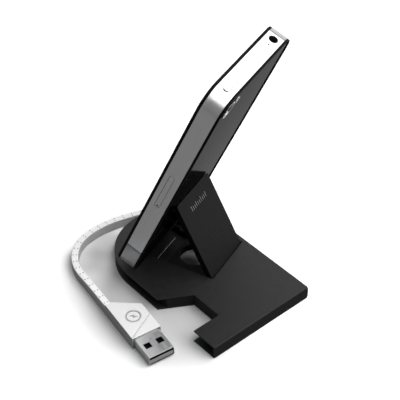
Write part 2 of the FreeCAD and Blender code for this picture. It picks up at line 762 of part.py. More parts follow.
def make_band():
    """One ring of metal, opened for every button, slot and port, then split at its gaps."""
    ring = new_body("band_ring")
    outline = new_sketch(ring, "band_outline", "YZ_Plane", BAND_FROM)
    half = HALF_BODY
    draw_rounded(outline, "-" + half, half, "0", "body_length", "corner_radius")
    draw_rounded(outline, "-" + INNER_HALF, INNER_HALF, "band_wall", INNER_TOP, "corner_radius - band_wall")
    pad(ring, outline, BAND_DEPTH)

    beyond_top = "(body_length + 1)"
    through_top = "band_wall + 2"
    far_from = "(body_width / 2 - band_wall - 1)"
    port_half = "(port_width / 2 + port_wall)"
    tools = [
        rod("jack_hole", "jack_bore + jack_wall", through_top, (MIDDLE_X, JACK_Y, INNER_TOP + " - 1")),
        rod("mic_hole", "mic_radius", through_top, (MIDDLE_X, MIC_Y, INNER_TOP + " - 1")),
        middle_box(
            "power_hole", "power_thick / 2 + shell_gap",
            (POWER_Y + " - power_length / 2 - shell_gap", POWER_Y + " + power_length / 2 + shell_gap"),
            (INNER_TOP + " - 1", beyond_top),
        ),
        middle_box(
            "mute_hole", "(mute_thick + mute_travel) / 2 + shell_gap", (far_from, HALF_BODY + " + 1"),
            (MUTE_Z + " - mute_length / 2 - shell_gap", MUTE_Z + " + mute_length / 2 + shell_gap"),
        ),
        middle_box(
            "tray_hole", "tray_thick / 2 + shell_gap", ("-%s - 1" % HALF_BODY, "-%s + 1" % INNER_HALF),
            ("tray_bottom - shell_gap", "tray_bottom + tray_length + shell_gap"), "tray_x",
        ),
        middle_box(
            "port_hole", "port_thick / 2 + port_wall", ("-" + port_half, port_half), ("-1", "band_wall + 1")
        ),
    ]
    for key, height in VOLUME_HEIGHTS.items():
        foot = (MIDDLE_X, far_from, height)
        tools.append(rod(key + "_hole", "key_radius + shell_gap", "band_wall + 2", foot, "y"))
    for side in (-1, 1):
        centre = "%d * grille_y" % side
        foot = (MIDDLE_X, "%d * screw_y" % side, "-1")
        tools.append(rod("screw_hole_%d" % side, "screw_radius", "band_wall + 2", foot))
        tools.append(
            middle_box(
                "grille_hole_%d" % side, "grille_height / 2",
                (centre + " - grille_run / 2", centre + " + grille_run / 2"),
                ("-1", "band_wall + 1"),
            )
        )
    opened = cut("band_opened", ring, tools)

    above = "(side_gap_height + gap_width / 2)"
    below = "(side_gap_height - gap_width / 2)"
    left = "(body_width / 2 - top_gap_x - gap_width / 2)"
    right = "(body_width / 2 - top_gap_x + gap_width / 2)"
    wide = "(body_width / 2 + 1)"
    regions = {
        "band_near": middle_box("near_region", "body_thick", ("-" + wide, left), (above, beyond_top)),
        "band_far": middle_box("far_region", "body_thick", (right, wide), (above, beyond_top)),
        "band_foot": middle_box("foot_region", "body_thick", ("-" + wide, wide), ("-1", below)),
    }
    for label, region in regions.items():
        finish(common(label + "_part", opened, region), label, HANDSET_PLACE)
    side_gaps = middle_box("side_gaps", "body_thick", ("-" + wide, wide), (below, above))
    top_gap = middle_box("top_gap", "body_thick", (left, right), ("body_length - corner_radius", beyond_top))
    gaps = joined("gap_regions", [side_gaps, top_gap])
    return finish(common("gap_inserts", opened, gaps), "band_gap_strips", HANDSET_PLACE)


# ---------------------------------------------------------------- handset inside


def make_mid_plate():
    body = slab("mid_plate_body", "band_wall", "plate_bottom", PLATE_FROM, "plate_thick")
    notches = hole_sketch(body, "mid_plate_notches", PLATE_FROM)
    draw_rect(
        notches, JACK_Y + " - (jack_bore + jack_wall + move_gap)",
        JACK_Y + " + (jack_bore + jack_wall + move_gap)",
        "body_length - jack_length - move_gap", "body_length",
    )
    draw_rect(
        notches, INNER_HALF + " - 1.4", INNER_HALF + " + 1",
        "body_length - volume_down_drop - key_radius - 1", MUTE_Z + " + mute_length / 2 + 1",
    )
    draw_rect(
        notches, POWER_Y + " - power_length / 2 - 1", POWER_Y + " + power_length / 2 + 1",
        POWER_STOP, "body_length",
    )
    pocket(body, notches, "plate_thick", upward=True)
    return finish(body, "mid_plate", HANDSET_PLACE)


LOGIC_FROM = "(logic_side_gap - %s)" % INNER_HALF
LOGIC_BOTTOM = "(plate_bottom + 12.2)"
LOGIC_TOP = "(body_length - lens_drop - camera_side / 2 - logic_gap)"
LOGIC_X = "(%s - chip_thick - board_thick - 0.4)" % BAND_TO


def make_display():
    panel_half = "(%s - panel_side_gap)" % INNER_HALF
    panel = box(
        "panel_block", ("panel_thick", "2 * " + panel_half, "body_length - panel_drop - panel_bottom"),
        ("glass_thick", "-" + panel_half, "panel_bottom"),
    )
    return finish(panel, "display_panel", HANDSET_PLACE)


def make_battery():
    near, far = "(%s + logic_width + battery_near_gap)" % LOGIC_FROM, "(%s - battery_far_gap)" % INNER_HALF
    length = "(body_length - jack_length - battery_jack_gap - battery_bottom)"
    block = box(
        "battery_block", ("%s - %s - 0.2" % (BAND_TO, PLATE_TO), "%s - %s" % (far, near), length),
        (PLATE_TO, near, "battery_bottom"),
    )
    rounded = eased("battery_rounded", block, lambda edge: edge.Length > value(length) - 1, "0.9")
    return finish(rounded, "battery", HANDSET_PLACE)


def make_logic():
    """Logic board with its chips on one side and shield cans on the other."""
    size = ("board_thick", "logic_width", "%s - %s" % (LOGIC_TOP, LOGIC_BOTTOM))
    finish(box("logic_plate", size, (LOGIC_X, LOGIC_FROM, LOGIC_BOTTOM)), "logic_board", HANDSET_PLACE)
    chips = []
    chip_x = "(%s + board_thick)" % LOGIC_X
    for i in range(3):
        rise = "(%s - %s - chip_side) * %d / 3" % (LOGIC_TOP, LOGIC_BOTTOM, i)
        height = "%s + %s + chip_side / 2" % (LOGIC_BOTTOM, rise)
        low = (chip_x, LOGIC_FROM + " + (logic_width - chip_side) / 2", height)
        chips.append(box("chip_%d" % i, ("chip_thick", "chip_side", "chip_side"), low))
    finish(together("chips", chips), "logic_chips", HANDSET_PLACE)
    can_depth = "(%s - %s)" % (LOGIC_X, PLATE_TO)
    spans = (
        ("(%s + 2)" % LOGIC_BOTTOM, "(tray_bottom - 4)"),
        ("(tray_bottom + tray_length + 3.5)", "(%s - 1)" % LOGIC_TOP),
    )
    cans = []
    for i, (low, high) in enumerate(spans):
        size = (can_depth, "logic_width - 2", "%s - %s" % (high, low))
        cans.append(box("can_%d" % i, size, (PLATE_TO, LOGIC_FROM + " + 1", low)))
    return finish(together("cans", cans), "shield_cans", HANDSET_PLACE)


def make_cameras():
    side = "camera_side"
    module = box(
        "camera_block", ("%s - %s" % (BAND_TO, PLATE_TO), side, side),
        (PLATE_TO, LENS_Y + " - camera_side / 2", LENS_Z + " - camera_side / 2"),
    )
    finish(module, "rear_camera", HANDSET_PLACE)
    at = (BAND_TO, LENS_Y, LENS_Z)
    outer = rod("ring_outside", "lens_radius", "glass_thick + 0.1", at, "x")
    inner = rod("ring_inside", "lens_radius - lens_wall", "glass_thick + 0.2", at, "x")
    finish(cut("ring_tube", outer, [inner]), "camera_ring", HANDSET_PLACE)
    window = rod("window_disc", "lens_radius - lens_wall", "glass_thick - 0.2", at, "x")
    finish(window, "camera_window", HANDSET_PLACE)
    flash = rod("flash_disc", "flash_radius", "glass_thick - 0.05", (BAND_TO, FLASH_Y, LENS_Z), "x")
    flash_body = middle_box(
        "flash_block", "0.6", (FLASH_Y + " - flash_side / 2", FLASH_Y + " + flash_side / 2"),
        (LENS_Z + " - flash_side / 2", LENS_Z + " + flash_side / 2"),
        BAND_TO + " - 0.6",
    )
    finish(joined("flash_parts", [flash, flash_body]), "flash_lamp", HANDSET_PLACE)
    ear_z = "(body_length - ear_drop)"
    front = box(
        "front_camera_block", ("panel_thick", "selfie_side", "selfie_side"),
        ("glass_thick", "selfie_y - selfie_side / 2", ear_z + " - selfie_side / 2"),
    )
    finish(front, "front_camera", HANDSET_PLACE)


def make_sound():
    """Earpiece, foot speaker, foot microphone, headphone jack and buzzer motor."""
    ear_z = "(body_length - ear_drop)"
    capsule = box(
        "ear_block", ("panel_thick", "ear_length + 1", "capsule_height"),
        ("glass_thick", "-ear_length / 2 - 0.5", ear_z + " - capsule_height / 2"),
    )
    finish(capsule, "earpiece", HANDSET_PLACE)
    mesh = box(
        "ear_mesh_block", ("glass_thick - 0.35", "ear_length - 1.6", "ear_height - 0.1"),
        ("0.35", "-ear_length / 2 + 0.8", ear_z + " - ear_height / 2 + 0.05"),
    )
    finish(mesh, "earpiece_mesh", HANDSET_PLACE)
    cavity_depth = "(%s - %s - 0.1)" % (BAND_TO, PLATE_TO)
    for side, label in ((-1, "speaker_box"), (1, "microphone_box")):
        cavity = slab(label + "_cavity", "(band_wall + 0.1)", "(band_wall + 0.1)", PLATE_TO, cavity_depth)
        near = "(screw_y + screw_radius + 0.4)"
        low = "-(%s + voice_width)" % near if side < 0 else near
        foot = (PLATE_TO, low, "band_wall + 0.1")
        block = box(label + "_block", (cavity_depth, "voice_width", "voice_height"), foot)
        finish(common(label + "_part", block, cavity), label, HANDSET_PLACE)
    jack_foot = (MIDDLE_X, JACK_Y, "body_length - jack_length")
    barrel = rod("jack_outside", "jack_bore + jack_wall", "jack_length", jack_foot)
    bore_foot = (MIDDLE_X, JACK_Y, "body_length - jack_length + 0.8")
    bore = rod("jack_inside", "jack_bore", "jack_length", bore_foot)
    finish(cut("jack_tube", barrel, [bore]), "jack_barrel", HANDSET_PLACE)
    motor_at = (PLATE_TO + " + motor_radius + 0.02", "-motor_length - 0.5", "body_length - ear_drop + 1.5")
    finish(rod("motor_can", "motor_radius", "motor_length", motor_at, "y"), "vibration_motor", HANDSET_PLACE)
    grilles = []
    for sign in (-1, 1):
        centre = "%d * grille_y" % sign
        grilles.append(
            middle_box(
                "grille_%d" % sign, "grille_height / 2",
                (centre + " - grille_run / 2", centre + " + grille_run / 2"),
                ("0.25", "1.05"),
            )
        )
    finish(together("grilles", grilles), "foot_grilles", HANDSET_PLACE)


def make_port():
    outer_half_y, outer_half_x = "(port_width / 2 + port_wall)", "(port_thick / 2 + port_wall)"
    outer = middle_box("port_outside", outer_half_x, ("-" + outer_half_y, outer_half_y), ("0", "port_depth"))
    inner = middle_box(
        "port_inside", "port_thick / 2", ("-port_width / 2", "port_width / 2"), ("-1", "port_depth - 0.6")
    )
    finish(cut("port_shell", outer, [inner]), "dock_port", HANDSET_PLACE)
    strips = []
    for i in range(-7, 8):
        strips.append(
            box(
                "port_strip_%d" % (i + 7), ("0.2", "pad_width", "port_depth - 2.2"),
                ("%s - port_thick / 2" % MIDDLE_X, "%d * pad_pitch - pad_width / 2" % i, "1.0"),
            )
        )
    finish(together("port_strips", strips), "port_contacts", HANDSET_PLACE)
    screws = []
    for side in (-1, 1):
        foot = (MIDDLE_X, "%d * screw_y" % side, "0")
        screws.append(rod("screw_%d" % side, "screw_radius", "screw_length", foot))
    finish(together("screws", screws), "foot_screws", HANDSET_PLACE)


# ---------------------------------------------------------------- buttons and tray

KEY_FOOT = "(body_width / 2 + key_proud - key_depth)"


def make_home_button():
    cap = rod("home_cap", "home_radius", "home_thick - 0.15", ("0.15", "0", "home_height"), "x")
    flange = rod("home_flange", "home_radius + 0.8", "0.4", ("glass_thick + 0.05", "0", "home_height"), "x")
    finish(joined("home_parts", [cap, flange]), "home_button", HANDSET_PLACE)
    switch = box("home_dome", (PLATE_FROM + " - 2.0", "4", "2.6"), ("2.0", "-2", "home_height - 1.3"))
    finish(switch, "home_switch", HANDSET_PLACE)


def make_side_keys():
    """Power, volume and mute, each with a flange behind the band that keeps it in."""
    top = POWER_FOOT
    half = "power_length / 2"
    cap = middle_box(
        "power_cap", "power_thick / 2", ("%s - %s" % (POWER_Y, half), "%s + %s" % (POWER_Y, half)),
        (top, "body_length + key_proud"),
    )
    flange = middle_box(
        "power_flange", "power_thick / 2 + key_lip",
        ("%s - %s" % (POWER_Y, half), "%s + %s + power_lip" % (POWER_Y, half)),
        ("%s - %s" % (top, FLANGE), top),
    )
    finish(joined("power_parts", [cap, flange]), "power_button", HANDSET_PLACE)
    for label, height in VOLUME_HEIGHTS.items():
        round_cap = rod(label + "_cap", "key_radius", "key_depth", (MIDDLE_X, KEY_FOOT, height), "y")
        foot = "(%s - %s)" % (KEY_FOOT, FLANGE)
        round_flange = rod(label + "_flange", "key_radius + 0.5", FLANGE, (MIDDLE_X, foot, height), "y")
        finish(joined(label + "_parts", [round_cap, round_flange]), label, HANDSET_PLACE)
    rest_x = "(body_thick / 2 - mute_travel / 2)"
    nub = middle_box(
        "mute_nub", "mute_thick / 2", (KEY_FOOT, HALF_BODY + " + key_proud"),
        (MUTE_Z + " - mute_length / 2", MUTE_Z + " + mute_length / 2"), rest_x,
    )
    runner = middle_box(
        "mute_runner", "mute_thick / 2 + 0.7", ("%s - %s" % (KEY_FOOT, FLANGE), KEY_FOOT),
        (MUTE_Z + " - mute_length / 2 - 0.5", MUTE_Z + " + mute_length / 2 + 0.5"), rest_x,
    )
    finish(joined("mute_parts", [nub, runner]), "mute_switch", HANDSET_PLACE)


def make_key_switches():
    """Contact blocks behind the keys, a key's travel away from them."""
    wall = "(%s - %s - key_travel - 0.1)" % (KEY_FOOT, FLANGE)
    blocks = []
    heights = list(VOLUME_HEIGHTS.values()) + [MUTE_Z]
    for i, height in enumerate(heights):
        blocks.append(
            box(
                "key_block_%d" % i, ("2.2", "0.7", "3"), (PLATE_TO, wall + " - 0.7", height + " - 1.5"),
            )
        )
    foot = (PLATE_TO, POWER_Y + " + switch_aside", POWER_STOP + " - switch_tall")
    blocks.append(box("power_block", ("switch_deep", "switch_long", "switch_tall"), foot))
    return finish(together("key_blocks", blocks), "key_switches", HANDSET_PLACE)


def make_tray():
    face_y = "(-body_width / 2)"
    middle_z = "(tray_bottom + tray_length / 2)"
    face = middle_box(
        "tray_face", "tray_thick / 2", (face_y, face_y + " + tray_face"),
        ("tray_bottom", "tray_bottom + tray_length"), "tray_x",
    )
    plate = middle_box(
        "tray_plate_block", "tray_plate / 2", (face_y + " + tray_face", face_y + " + tray_depth"),
        (middle_z + " - sim_length / 2 - 1.2", middle_z + " + sim_length / 2 + 1.2"), "tray_x",
    )
    seat_y = "(%s + tray_depth - sim_width - 1.2)" % face_y
    seat = box(
        "tray_seat", ("tray_plate", "sim_width + 0.1", "sim_length + 0.1"),
        ("tray_x + tray_plate / 2 - sim_thick", seat_y, middle_z + " - sim_length / 2 - 0.05"),
    )
    foot = ("tray_x", face_y + " - 1", "tray_bottom + 1.2")
    pinhole = rod("tray_pinhole", "pinhole_radius", "3", foot, "y")
    tray = cut("tray_cut", joined("tray_parts", [face, plate]), [seat, pinhole])
    finish(tray, "sim_tray", HANDSET_PLACE)
    card = box(
        "sim_block", ("sim_thick", "sim_width", "sim_length"),
        ("tray_x + tray_plate / 2 - sim_thick", seat_y + " + 0.05", middle_z + " - sim_length / 2"),
    )
    finish(card, "sim_card", HANDSET_PLACE)
    reader = box(
        "reader_block", ("%s - %s" % (LOGIC_X, PLATE_TO), "2.6", "sim_length"),
        (PLATE_TO, face_y + " + tray_depth + move_gap", middle_z + " - sim_length / 2"),
    )
    finish(reader, "sim_reader", HANDSET_PLACE)


# ---------------------------------------------------------------- plug and lead


def make_plug():
    body = new_body("mould_body")
    outline = new_sketch(body, "mould_outline")
    half = "(mould_width / 2)"
    corners = [
        ("0", "-" + half), ("0", half), ("-mould_short", half),
        ("-mould_length", "lead_thick - " + half), ("-mould_length", "-" + half),
    ]
    draw_loop(outline, corners)
    pad(body, outline, "mould_thick")
    usb_low = "(mould_thick / 2 - usb_thick / 2)"
    root_corner = ("-usb_root", "-usb_width / 2", usb_low)
    socket = box("mould_socket", ("usb_root", "usb_width", "usb_thick"), root_corner)
    emblem_at = ("emblem_x", "0", "mould_thick - emblem_depth")
    seat = rod("emblem_seat", "emblem_radius", "emblem_depth + 1", emblem_at)
    hollow = cut("mould_hollowed", body, [socket, seat])
    finish(hollow, "plug_mould", PLUG_PLACE)
    finish(rod("emblem_disc", "emblem_radius", "emblem_depth", emblem_at), "plug_emblem", PLUG_PLACE)

    tube_length = "usb_length + usb_root"
    outer = box("usb_outside", (tube_length, "usb_width", "usb_thick"), root_corner)
    inner = box(
        "usb_inside", (tube_length, "usb_width - 2 * usb_wall", "usb_thick - 2 * usb_wall"),
        ("-usb_root", "usb_wall - usb_width / 2", usb_low + " + usb_wall"),
    )
    windows = []
    for i, side in enumerate((-1, 1)):
        windows.append(
            box(
                "usb_window_%d" % i, ("usb_window", "usb_window", "usb_thick + 2"),
                (
                    "usb_length - usb_window_from - usb_window",
                    "%d * usb_window_y - usb_window / 2" % side, usb_low + " - 1",
                ),
            )
        )
    finish(cut("usb_tube", outer, [inner] + windows), "usb_shell", PLUG_PLACE)
    tongue = box(
        "usb_bar", (tube_length + " - 0.4", "usb_width - 2 * usb_wall", "insulator_thick"),
        ("-usb_root", "usb_wall - usb_width / 2", usb_low + " + usb_wall"),
    )
    finish(tongue, "usb_insulator", PLUG_PLACE)
    strips = []
    strip_low = usb_low + " + usb_wall + insulator_thick"
    for i in range(4):
        strips.append(
            box(
                "usb_strip_%d" % i, ("usb_length - strip_inset", "contact_width", "pad_thick"),
                ("0", "%.1f * contact_pitch - contact_width / 2" % (i - 1.5), strip_low),
            )
        )
    finish(together("usb_strips", strips), "usb_contacts", PLUG_PLACE)


def lead_route():
    """Points that the lead passes, from its gland round the card's end to the plug."""
    start = Vector(value(ROUND_X), value("card_width / 2 - channel_depth / 2"), 0)
    end = PLUG_PLACE.multVec(Vector(-value("mould_length"), value("lead_thick / 2 - mould_width / 2"), 0))
    round_x = value(ROUND_X)
    beside_card = [
        (-5.6, 25.2), (-15.8, 20.4), (-27.9, 9.8), (-33.2, -4.0),
        (-35.4, -18.0), (-32.4, -31.4), (-21.2, -40.6), (-5.61, -42.19),
    ]
    return [start] + [Vector(round_x + x, y, 0) for x, y in beside_card] + [end]


def make_lead():
    """Flat lead on its edge: straight runs joined by tangent arcs."""
    points = lead_route()
    height = value("sheet_thick + core_thick / 2")
    edges = []
    last = points[0]
    radii = []
    for before, corner, after in zip(points, points[1:], points[2:]):
        into, out = corner - before, after - corner
        turn = into.getAngle(out)
        reach = 0.45 * min(into.Length, out.Length)
        radius = reach / math.tan(turn / 2)
        radii.append(round(radius, 1))
        into.normalize()
        out.normalize()
        first, second = corner - into * reach, corner + out * reach
        inward = (out - into).normalize()
        middle = corner + inward * (radius / math.cos(turn / 2) - radius)
        edges.append(Part.LineSegment(last, first).toShape())
        edges.append(Part.Arc(first, middle, second).toShape())
        last = second
    edges.append(Part.LineSegment(last, points[-1]).toShape())
    path = Part.Wire(edges)
    path.translate(Vector(0, 0, height))
    side, tall = value("lead_thick") / 2, value("lead_width") / 2
    start = points[0] + Vector(0, 0, height)
    signs = ((-1, -1), (1, -1), (1, 1), (-1, 1))
    corners = [start + Vector(0, y * side, z * tall) for y, z in signs]
    section = Part.Wire(Part.makePolygon(corners + [corners[0]]))
    tube = path.makePipeShell([section], True, False)
    lead = doc.addObject("Part::Feature", "lead_tube")
    lead.Shape = tube
    expected = path.Length * 4 * side * tall
    print("lead length %.1f, volume %.1f of %.1f, radii %s" % (path.Length, tube.Volume, expected, radii))
    return finish(lead, "charge_lead")


# ---------------------------------------------------------------- build


make_bottom_sheet()
make_base_core()
make_top_sheet()
make_gland()
make_wires()
make_board()
make_pin("flap_pin", "flap_pin_radius", FLAP_PIN_LENGTH, "flap_pin_x", FLAP_PIN_HEIGHT, "recess_y")
make_pin("block_pin", "block_pin_radius", BLOCK_PIN_LENGTH, "pivot_x", PIVOT_HEIGHT)
make_flap()
make_block()
make_tongue()
make_front_glass()
make_back_glass()
make_band()
make_mid_plate()
make_display()
make_battery()
make_logic()
make_cameras()
make_sound()
make_port()
make_home_button()
make_side_keys()
make_key_switches()
make_tray()
make_plug()
make_lead()

doc.recompute()
for thing in doc.Objects:
    if "Invalid" in thing.State or "Error" in thing.State:
        raise RuntimeError("%s failed: %s" % (thing.Name, thing.State))
for piece in pieces:
    if piece.Shape.isNull() or not piece.Shape.isValid():
        raise RuntimeError("%s has no valid shape" % piece.Label)

os.makedirs("parts", exist_ok=True)
for piece in pieces:
    piece.Shape.exportStep("parts/%s.step" % piece.Label)
print("%d sub-parts written" % len(pieces))
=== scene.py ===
import json
import math

import bmesh
import bpy
from mathutils import Matrix, Vector


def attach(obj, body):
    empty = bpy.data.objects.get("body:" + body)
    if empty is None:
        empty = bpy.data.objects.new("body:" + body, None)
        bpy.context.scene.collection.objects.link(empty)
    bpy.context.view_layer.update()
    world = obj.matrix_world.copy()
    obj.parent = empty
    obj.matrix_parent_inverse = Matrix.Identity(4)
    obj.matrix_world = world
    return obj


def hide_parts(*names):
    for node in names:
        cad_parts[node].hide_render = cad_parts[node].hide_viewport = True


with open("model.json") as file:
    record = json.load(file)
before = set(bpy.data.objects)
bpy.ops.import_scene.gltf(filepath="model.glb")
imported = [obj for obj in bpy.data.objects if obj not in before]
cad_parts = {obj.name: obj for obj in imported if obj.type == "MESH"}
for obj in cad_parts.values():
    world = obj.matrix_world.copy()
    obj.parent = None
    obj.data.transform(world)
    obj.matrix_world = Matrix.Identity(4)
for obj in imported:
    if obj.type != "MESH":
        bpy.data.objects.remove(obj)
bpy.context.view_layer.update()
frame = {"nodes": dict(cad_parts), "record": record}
print("frame loaded")

mm = 0.001
up = Vector((0, 0, 1))
joints = {joint["name"]: joint for joint in frame["record"]["behaviour"]["joints"]}


def placeAt(origin, x, y, z):
    place = Matrix((x, y, z)).transposed().to_4x4()
    place.translation = origin
    return place


def inScene(name, data):
    thing = bpy.data.objects.new(name, data)
    bpy.context.collection.objects.link(thing)
    return thing


handset = dict(width=58.6, length=115.2, thick=9.3, corner=8.8, glass=1.0, inset=0.1, trim=0.65, sunk=0.4, lip=0.3,
               foot=7.81)
flapSize = dict(length=38.8, width=27.0, thick=2.8, angle=64.0, corner=1.0, edge=0.2, aside=-0.9, tipTurn=23.94)
pivot = Vector(joints["dock_tilt"]["pos_m"])
acrossDock = -Vector(joints["dock_tilt"]["axis"])       # the handset's width, near edge to far edge
alongDock = acrossDock.cross(up)                        # from the handset's front to its back
handsetUp = Vector(joints["handset_undock"]["axis"])
handsetBack = acrossDock.cross(handsetUp)
footPoint = pivot + handsetUp * handset["foot"] * mm
handsetPlace = placeAt(footPoint - handsetBack * handset["thick"] / 2 * mm, handsetBack, acrossDock, handsetUp)
blockPlace = placeAt(pivot, handsetBack, acrossDock, handsetUp)
pivotAlong, pivotHeight = 1.08, 2.2                     # the hinge in the dock's own place
dockPlace = placeAt(pivot - alongDock * pivotAlong * mm - up * pivotHeight * mm, alongDock, acrossDock, up)
flapTurn = math.radians(flapSize["angle"])
flapAlong = up * math.sin(flapTurn) - alongDock * math.cos(flapTurn)
flapOut = up * math.cos(flapTurn) + alongDock * math.sin(flapTurn)
flapPlace = placeAt(Vector(joints["flap_fold"]["pos_m"]), flapAlong, flapOut.cross(flapAlong), flapOut)
plugSpot = dict(mouth=(17.45, -42.3, 0), turn=-8.0)      # where the mould's shell end lies on the floor
plugTurn = math.radians(plugSpot["turn"])
plugAlong = Vector((math.cos(plugTurn), math.sin(plugTurn), 0))
plugPlace = placeAt(Vector(plugSpot["mouth"]) * mm, plugAlong, up.cross(plugAlong), up)
onTheCard = Matrix()


cameraSpot = dict(position=(0.2762, -0.2282, 0.34573), heading=140.13, pitch=40.137, roll=-0.967, lens=99.962)


def makeCamera():
    heading, pitch, roll = (math.radians(cameraSpot[key]) for key in ("heading", "pitch", "roll"))
    forward = Vector((math.cos(heading) * math.cos(pitch), math.sin(heading) * math.cos(pitch), -math.sin(pitch)))
    right = forward.cross(up).normalized()
    above = right.cross(forward)
    tiltedRight = right * math.cos(roll) + above * math.sin(roll)
    tiltedAbove = above * math.cos(roll) - right * math.sin(roll)
    data = bpy.data.cameras.new("view")
    data.sensor_width = 36
    data.lens = cameraSpot["lens"]
    data.clip_start, data.clip_end = 0.01, 50
    camera = inScene("view", data)
    camera.matrix_world = placeAt(Vector(cameraSpot["position"]), tiltedRight, tiltedAbove, -forward)
    bpy.context.scene.camera = camera


makeCamera()
print("camera placed")


def fill(tree, node, inputs):
    # an input is another node's socket or a plain value
    for socket, given in inputs.items():
        if isinstance(given, bpy.types.NodeSocket):
            tree.links.new(given, node.inputs[socket])
        else:
            node.inputs[socket].default_value = given


def newNode(tree, kind, output, inputs, **settings):
    node = tree.nodes.new("ShaderNode" + kind)
    for setting, value in settings.items():
        setattr(node, setting, value)
    fill(tree, node, inputs)
    return node.outputs[output]


def worked(tree, operation, *inputs, kind="Math"):
    return newNode(tree, kind, "Value", dict(enumerate(inputs)), operation=operation)


def fadeBetween(tree, value, edges, tones, course="SMOOTHSTEP"):
    return newNode(tree, "MapRange", "Result", {
        "Value": value, "From Min": edges[0], "From Max": edges[1], "To Min": tones[0], "To Max": tones[1],
    }, interpolation_type=course)


finishes = {}


def material(name, colour, roughness, metal=0.0, vary=0.12, patch=3.0, spread=0.06, bump=0.0, grain=0.15,
             stretch=(1, 1, 1), depth=0.01, coat=0.0, specular=0.5, glancing=None):
    # a single number as colour is a plain grey
    channels = colour if isinstance(colour, tuple) else (colour,) * 3
    mat = finishes[name] = bpy.data.materials.new(name)
    mat.use_nodes = True
    tree = mat.node_tree
    shader = tree.nodes["Principled BSDF"]
    where = newNode(tree, "TexCoord", "Object", {})
    scaled = newNode(tree, "Mapping", "Vector", {"Vector": where, "Scale": [amount / mm for amount in stretch]})

    def noise(size, detail):
        return newNode(tree, "TexNoise", "Fac", {"Vector": scaled, "Scale": 1 / size, "Detail": detail})

    tones = newNode(tree, "Mix", "Result", {
        "Factor": noise(patch, 4), "A": [channel * (1 - vary) for channel in channels] + [1],
        "B": [min(1, channel * (1 + vary)) for channel in channels] + [1],
    }, data_type="RGBA")
    polish = fadeBetween(tree, noise(patch * 0.4, 6), (0.3, 0.7),
                         (max(0.02, roughness - spread), min(1, roughness + spread)), "LINEAR")
    if glancing is not None:
        # a dark pane that doesn't flare where it is met edge on
        edgeOn = newNode(tree, "LayerWeight", "Facing", {})
        specular = fadeBetween(tree, edgeOn, (0.6, 0.8), (specular, glancing), "LINEAR")
    fill(tree, shader, {"Base Color": tones, "Roughness": polish, "Metallic": metal, "IOR": 1.5,
                        "Specular IOR Level": specular, "Coat Weight": coat, "Coat Roughness": 0.05})
    if bump:
        relief = {"Height": noise(grain, 3), "Strength": bump, "Distance": depth * mm}
        fill(tree, shader, {"Normal": newNode(tree, "Bump", "Normal", relief)})


# each finish has its name, its colour, its roughness and what else sets it apart
brushed = dict(metal=1, vary=0.04, bump=0.05, grain=0.12, stretch=(1, 0.12, 0.12))
material("dockSatin", (0.008, 0.008, 0.0085), 0.5, bump=0.35, grain=0.12, patch=6, depth=0.012, specular=0.38)
material("dockCoreBlack", (0.007, 0.007, 0.0075), 0.55, bump=0.3, grain=0.15, specular=0.2)
material("flapSatin", (0.0065, 0.0065, 0.007), 0.55, bump=0.4, grain=0.12, depth=0.014, specular=0.14)
# painted shade on the flap's free end and edges: a darker, duller copy of its black
material("flapRimShade", 0.003, 0.8, bump=0.4, grain=0.12, depth=0.014, specular=0.05)
material("tickGrey", 0.3, 0.5, bump=0.2)
material("pinSteel", (0.55, 0.55, 0.56), 0.25, metal=1, stretch=(1, 1, 0.1), bump=0.2)
material("wireRed", (0.22, 0.03, 0.03), 0.45, bump=0.2)
material("boardGreen", (0.015, 0.06, 0.035), 0.35, bump=0.3, grain=0.6, coat=0.3)
material("blockBlack", (0.02, 0.02, 0.021), 0.45, bump=0.3)
material("stampedSteel", (0.8, 0.8, 0.81), 0.34, metal=1, vary=0.05, bump=0.1, grain=0.3, stretch=(0.25, 1, 1))
# near black painted as the shadow within the USB shell and over its insulator
material("insideShadowBlack", 0.005, 0.7, specular=0.1)
# gold darkened with painted shadow, for the USB contacts under the shell
material("shadowedGold", (0.10, 0.075, 0.035), 0.45, metal=1, bump=0.1)
material("contactGold", (0.8, 0.6, 0.3), 0.22, metal=1, bump=0.1)
material("glassBlack", (0.002, 0.002, 0.0023), 0.06, spread=0.02, glancing=0.001)
material("displayGlass", (0.012, 0.012, 0.014), 0.05, spread=0.02, specular=0.6)
material("trimBlack", 0.003, 0.6, specular=0.06, bump=0.15)
material("bandSteel", (0.6, 0.6, 0.61), 0.33, **brushed)
# the band's steel darkened as painted shade for the foot below the gaps
material("shadedFootSteel", (0.34, 0.34, 0.35), 0.33, **brushed)
material("gapGrey", 0.24, 0.5, bump=0.2)
material("plateSteel", (0.45, 0.45, 0.46), 0.35, metal=1, bump=0.2)
material("panelBlack", (0.01, 0.01, 0.012), 0.2)
material("batteryFilm", (0.03, 0.03, 0.032), 0.4, bump=0.3, grain=0.8)
material("chipBlack", (0.022, 0.022, 0.023), 0.5, bump=0.3)
material("lensRing", (0.42, 0.42, 0.43), 0.16, metal=1, stretch=(1, 1, 0.2))
material("lensGlass", (0.006, 0.006, 0.012), 0.04, spread=0.01, coat=1.0)
material("flashLens", (0.68, 0.68, 0.67), 0.18, bump=0.5, grain=0.25, coat=0.6)
material("meshBlack", 0.02, 0.6, bump=1.0, grain=0.1, depth=0.05)
material("speakerBlack", 0.02, 0.55, bump=0.3)
material("homeGloss", (0.01, 0.01, 0.011), 0.12, spread=0.03)
material("keySteel", (0.6, 0.6, 0.61), 0.3, metal=1, vary=0.05, bump=0.1)
material("cardWhite", (0.75, 0.75, 0.74), 0.5, vary=0.03, bump=0.1)
material("leadWhite", 0.94, 0.5, vary=0.03, patch=1.5, bump=0.25, grain=0.2)
material("leadInk", 0.05, 0.6, bump=0.2)
material("mouldWhite", 0.82, 0.32, vary=0.02, patch=4, bump=0.12, grain=0.2, coat=0.15)
# a grey painted as shade on the mould's groove, end face and shell seat
material("paintedShadeGrey", 0.36, 0.4, vary=0.03, bump=0.1)
# grey painted as shade in the emblem's recessed grooves
material("emblemGrooveShade", 0.3, 0.35, vary=0.05, bump=0.1)
material("insulatorGrey", 0.42, 0.45, bump=0.15)

